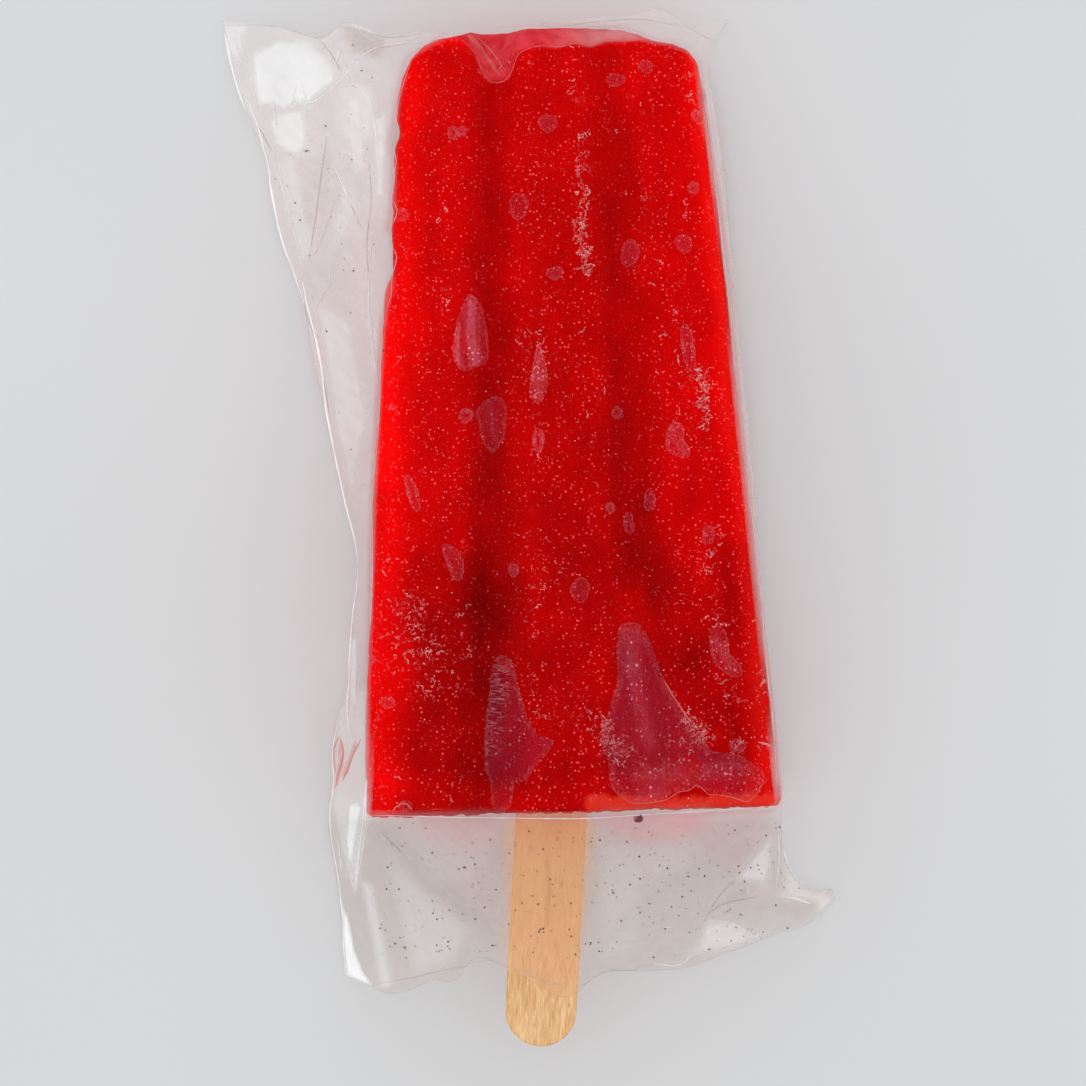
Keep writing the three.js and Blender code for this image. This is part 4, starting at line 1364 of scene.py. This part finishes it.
def wood_material():
    """Pale birch with a fine straight grain, dark pores, a little juice where it meets the ice and a painted
    highlight on one edge.
    """
    material, tree, shader = new_material("birch_wood")
    along = place(tree, (1, 1, 1), STICK_LEAN - LAY)
    fine = clouds(tree, stretch(tree, along, (4.2, 0.45, 0.4)), 1.0, 3, 0.6)
    broad = clouds(tree, stretch(tree, along, (0.35, 0.12, 1)), 1.0, 2, 0.5)
    share = calc(tree, "ADD", calc(tree, "MULTIPLY", fine, 0.8), calc(tree, "MULTIPLY", broad, 0.2))
    grain = ramp(tree, share, (0.34, linear(212, 156, 100)), (0.64, linear(248, 206, 152)))
    pores = specks(tree, stretch(tree, along, (1.0, 0.5, 1)), 1.1, 0.14, 0.3)
    colour = cover_with(
        tree, grain,
        (kept(tree, "wet"), linear(230, 178, 128)),
        (calc(tree, "MULTIPLY", pores, 0.4), linear(150, 96, 58)),
        (kept(tree, "stain"), linear(150, 84, 46)),
        # painted highlight along one edge
        (kept(tree, "lit"), linear(255, 246, 226)),
        (calc(tree, "MULTIPLY", kept(tree, "juice"), 0.5), linear(226, 110, 88)),
    )
    fill(tree, shader, {
        "Base Color": colour, "Roughness": rise(tree, fine, 0.3, 0.7, 0.5, 0.7),
        "Specular IOR Level": 0.3, "Normal": relief(tree, fine, 0.06 * MM),
    })
    return material


def film_material():
    """Clear film, all but unseen where it clings to the ice and milky where it stands free, with painted
    highlights, painted shade and painted red light from the ice.
    """
    material, tree, shader = new_material("clear_film")
    haze = calc(tree, "MULTIPLY", kept(tree, "cover"), let_through(tree, 0.7, 0.4), True)
    # The colour carries painted shade, the stick seen through the film, painted red light from the ice and
    # painted highlights, in that order.
    colour = cover_with(
        tree, linear(240, 232, 231),
        (kept(tree, "painted_shade"), linear(203, 187, 179)), (kept(tree, "amber"), linear(236, 176, 128)),
        (kept(tree, "painted_red_bounce"), linear(228, 132, 136)), (kept(tree, "painted_highlight"), linear(253, 253, 253)),
    )
    wiped = clouds(tree, place(tree), 5.0, 0, 0.5)
    fill(tree, shader, {
        "Base Color": colour, "Alpha": haze, "Roughness": rise(tree, wiped, 0.3, 0.7, 0.14, 0.26),
        "Specular IOR Level": 0.5,
    })
    return material


def air_material():
    """Air trapped between ice and film: crimson depth, milky streaks over it, bright grains and a fine rim with
    a painted highlight.
    """
    material, tree, shader = new_material("trapped_air")
    where = place(tree)
    veil = kept(tree, "veil")
    streaks = clouds(tree, place(tree, (2.2, 0.3, 1)), 1.0, 3, 0.6)
    ridges = clouds(tree, place(tree, (0.7, 4.4, 1), 0.25), 1.0, 2, 0.5)
    fine = clouds(tree, where, 0.35, 3, 0.7)
    ripple = calc(tree, "ADD", calc(tree, "MULTIPLY", streaks, 0.4), calc(tree, "MULTIPLY", fine, 0.6))
    dark = calc(tree, "MULTIPLY", kept(tree, "deep"), 0.16)
    milky = calc(tree, "MULTIPLY", veil, rise(tree, ripple, 0.4, 0.6, 0.015, 0.11))
    milky = calc(tree, "ADD", milky, 0.008)
    dots = specks(tree, where, 0.62, 0.26, rise(tree, streaks, 0.35, 0.65, 0.1, 0.4))
    dots = calc(tree, "MULTIPLY", dots, calc(tree, "ADD", calc(tree, "MULTIPLY", veil, 0.5), 0.2))
    ridge = calc(tree, "MULTIPLY", kept(tree, "ridged"), rise(tree, ridges, 0.5, 0.62, 0.0, 0.13))
    # A painted highlight along the raised rim.
    rim = calc(tree, "MULTIPLY", kept(tree, "rim"), rise(tree, fine, 0.42, 0.58, 0.0, 0.1))
    bright = calc(tree, "MAXIMUM", calc(tree, "MAXIMUM", dots, ridge), rim)
    base = calc(tree, "ADD", dark, milky)
    cover = calc(tree, "ADD", base, bright, True)
    colour = blend(tree, calc(tree, "DIVIDE", dark, base), (1.0, 0.25, 0.36, 1), (0.11, 0.0, 0.04, 1))
    colour = blend(tree, calc(tree, "DIVIDE", bright, cover), colour, linear(255, 158, 168))
    fill(tree, shader, {
        "Base Color": colour, "Alpha": cover, "Roughness": rise(tree, streaks, 0.2, 0.8, 0.35, 0.6),
        "Specular IOR Level": 0.1,
    })
    return material


def bright_material(name, dull, pale, cover_low, cover_high):
    """A small thing that runs from dull to pale and from faint to plain with its own brightness."""
    material, tree, shader = new_material(name)
    bright = kept(tree, "bright")
    cloud = clouds(tree, place(tree), 0.9, 2, 0.5)
    lit = vary(tree, bright, cloud, 0.4, True)
    fill(tree, shader, {
        "Base Color": blend(tree, lit, linear(*dull), linear(*pale)),
        "Alpha": rise(tree, bright, 0.0, 1.0, cover_low, cover_high),
        "Roughness": rise(tree, cloud, 0.2, 0.8, 0.4, 0.6), "Specular IOR Level": 0.2,
    })
    return material


# ---- Painting the ice and the stick ----

# Where the camera sees the ice's milky foot, and a streak and a knot of the stick, and the edge of it that is
# painted with a highlight.
MILKY_FOOT = [(596, 804), (660, 808), (776, 803)]
WOOD_STREAK = [(547, 862), (549, 890), (547, 926)]
WOOD_KNOT = [(562, 882), (562, 886)]
LIT_EDGE_LINE = [(503, 948), (499, 985), (497, 1008), (500, 1022)]


def paint_ice(ice):
    """Painted light and shade on the ice at each point, how much frost it carries and how milky it is."""
    points = points_of(ice)
    u, v, z = points.T
    x, y = frame_points(points)
    sway = lumps(np.stack([u / (7 * MM), v / (12 * MM), 1 + 0 * u], 1), 1)
    u = u + 2.2 * MM * sway * smooth(half_width(v) - np.abs(u), 0, 6 * MM)
    across = u / half_width(v)
    along = np.clip(v / ICE_LENGTH, 0, 1)
    flute = flute_share(u + 1.2 * MM * (u < 0) * smooth(along, 0.35, 0.55), v)
    # Painted light and shade: paler ribs, glowing edges, darker flutes and a brighter tip, with the sides below
    # the top painted bright red all over.
    painted_light = 0.48 + 0.09 * smooth(along, 0.1, 0.5)
    painted_light += 0.3 * smooth(-across, 0.74, 0.95) + (0.24 + 0.08 * along) * smooth(across, 0.8, 0.96)
    painted_light -= (0.05 + 0.09 * bump(along, 0.45, 0.5)) * bump(across, 0, 0.4)
    painted_light -= flute * np.where(u < 0, 0.13 + 0.14 * bump(along, 0.45, 0.45), 0.05 + 0.12 * bump(along, 0.6, 0.55))
    painted_light += 0.45 * smooth(v, ICE_LENGTH - 4 * MM, ICE_LENGTH)
    painted_light += 0.06 * smooth(v, ICE_LENGTH - 18 * MM, ICE_LENGTH - 5 * MM)
    for more, reach, line in ICE_LIGHT_AND_SHADE:
        painted_light += more * bump(off_line(x, y, line), 0, reach)
    top = smooth(z, 4 * MM, 9 * MM)
    paint(ice, "painted_light", np.clip(painted_light, 0, 1) * top + 0.95 * (1 - top))
    paint(ice, "frost", 0.35 + 0.65 * np.clip(1 - 1.6 * flute, 0, 1))
    across_only = flat(points[:, 0], 0 * v)
    ragged = 4 * lumps(across_only, 1.5 * MM) + 3 * lumps(across_only, 0.6 * MM, 2)
    foot = smooth(off_line(x, y, MILKY_FOOT) + ragged, 12, 7)
    right = 0.07 * smooth(across, 0.88, 0.97)
    paint(ice, "milk", np.maximum(0.45 * foot, right) * top)
    paint(ice, "end", inside(x, y, TIP_BAND, 2) * top)


def paint_stick(stick):
    """Juice where it leaves the ice, one dark streak in the grain, and a painted highlight along one edge."""
    points = points_of(stick)
    _, v, z = points.T
    x, y = frame_points(points)
    upper = smooth(z, z.mean(), z.mean() + 0.5 * MM)
    streak = bump(off_line(x, y, WOOD_STREAK), 0, 5)
    knot = bump(off_line(x, y, WOOD_KNOT), 0, 4)
    paint(stick, "juice", smooth(v, -8 * MM, 0))
    paint(stick, "wet", 0.45 * smooth(y, 958, 932))
    paint(stick, "stain", np.maximum(0.35 * streak, 0.5 * knot) * upper)
    # A painted highlight along the upper face's edge.
    edge = bump(off_line(x, y, LIT_EDGE_LINE), 0, 3)
    paint(stick, "lit", 0.75 * edge * upper)


# ---- The part ----

def tree_of(obj):
    return BVHTree.FromPolygons([v.co for v in obj.data.vertices], [p.vertices for p in obj.data.polygons])


red_ice = ice_material()
birch = wood_material()
clear_film = film_material()
trapped_air = air_material()
white_frost = bright_material("frost", (238, 60, 66), (255, 204, 204), 0.3, 0.95)
pale_ice = bright_material("pale_ice", (240, 90, 86), (255, 214, 206), 0.3, 0.9)
# Crease lines, painted from grey shade to white glint.
crease_light_and_shade = bright_material("crease_glint_and_shade", (150, 138, 138), (255, 255, 255), 0.3, 1.0)
juice = bright_material("dried_juice", (240, 140, 116), (228, 72, 48), 0.22, 0.6)
dirt = bright_material("grit", (72, 44, 38), (150, 118, 108), 0.9, 0.6)
berry = bright_material("dark_fleck", (96, 44, 56), (132, 70, 76), 0.9, 1.0)

deselect()
ice = model_ice()
paint_ice(ice)
ice_tree = tree_of(ice)
film = model_film(ice_tree)
film_tree = tree_of(film)
film_back = model_film_back()
stick = model_stick()
paint_stick(stick)
pockets = model_pockets(ice_tree)
marks = strewn(mark_blank(), frost_mark_places(ice_tree))
crystals = strewn(grain_blank(), frost_speck_places(ice_tree))
grit = strewn(grain_blank(), grit_places(film_tree))
creases = model_line(film_tree, CREASES, 0.02 * MM, "crease")
lines = model_line(ice_tree, ICE_LINES, 0.1 * MM, "line")
smear = model_line(film_tree, JUICE, -0.02 * MM, "smear")
dark_speck = model_dark_speck(film_tree)
paint(dark_speck, "bright", 0.4)
# The back sheet has no painted highlight or shade, and a little painted red light from the ice.
for name, value in (("cover", 0.05), ("painted_highlight", 0.0), ("painted_shade", 0.0), ("painted_red_bounce", 0.1), ("amber", 0.0)):
    paint(film_back, name, value)

hand_over(ice, "pop_ice", red_ice, "ice_body")
hand_over(stick, "pop_stick", birch, "stick")
hand_over(film, "bag_front", clear_film, "film_bag")
hand_over(film_back, "bag_back", clear_film)
hand_over(pockets, "air_pockets", trapped_air)
hand_over(marks, "frost_marks", white_frost)
hand_over(crystals, "frost_specks", white_frost)
hand_over(grit, "grit", dirt)
hand_over(creases, "bag_creases", crease_light_and_shade)
hand_over(lines, "pale_lines", pale_ice)
hand_over(smear, "juice_smear", juice)
hand_over(dark_speck, "dark_speck", berry)


# ---- The stage ----

def stage():
    bpy.ops.mesh.primitive_plane_add(size=3)
    floor = active()
    floor.name = "floor"
    material, tree, shader = new_material("pale_board")
    cloud = clouds(tree, place(tree), 60, 0, 0.5)
    colour = blend(tree, cloud, linear(216, 217, 218), linear(222, 223, 224))
    fill(tree, shader, {"Base Color": colour, "Roughness": 0.9, "Specular IOR Level": 0.1})
    floor.data.materials.append(material)


def softbox(name, at, size, power):
    lamp = bpy.data.lights.new(name, "AREA")
    lamp.shape = "RECTANGLE"
    lamp.size, lamp.size_y = size
    lamp.energy = power
    lamp.use_shadow = False
    box = placed(name, lamp)
    box.location = at
    box.rotation_euler = (-Vector(at)).to_track_quat("-Z", "Y").to_euler()


def lights():
    """A white tent all round, with one small softbox at the left and a low strip for the film's slopes."""
    softbox("key_left", (-0.35, 0.4, 1.05), (0.3, 0.3), 1.9)
    softbox("low_left", (-0.9, 0.1, 0.3), (0.8, 0.25), 0.8)
    softbox("low_right", (0.9, 0.15, 0.35), (0.8, 0.25), 0.9)
    world = bpy.data.worlds.new("studio")
    bpy.context.scene.world = world
    world.use_nodes = True
    tree = world.node_tree
    up = put(tree, "ShaderNodeSeparateXYZ", {0: put(tree, "ShaderNodeTexCoord").outputs["Generated"]})
    ceiling = rise(tree, up.outputs["Z"], 0.0, 1.0)
    colour = blend(tree, ceiling, (1.0, 1.0, 1.0, 1), (0.92, 0.93, 0.94, 1))
    fill(tree, tree.nodes["Background"], {"Color": colour, "Strength": 0.845})
    world.cycles.sampling_method = "NONE"


def camera():
    lens = bpy.data.cameras.new("camera")
    lens.sensor_width = 36
    lens.lens = 36 * CAMERA_AT.z / VIEW_WIDTH
    lens.clip_start = 0.01
    eye = placed("camera", lens)
    eye.location = CAMERA_AT
    bpy.context.scene.camera = eye


stage()
lights()
camera()
bpy.context.scene.view_settings.view_transform = "Standard"
cycles = bpy.context.scene.cycles
cycles.transparent_max_bounces = 24
cycles.max_bounces = 5
cycles.diffuse_bounces = 2
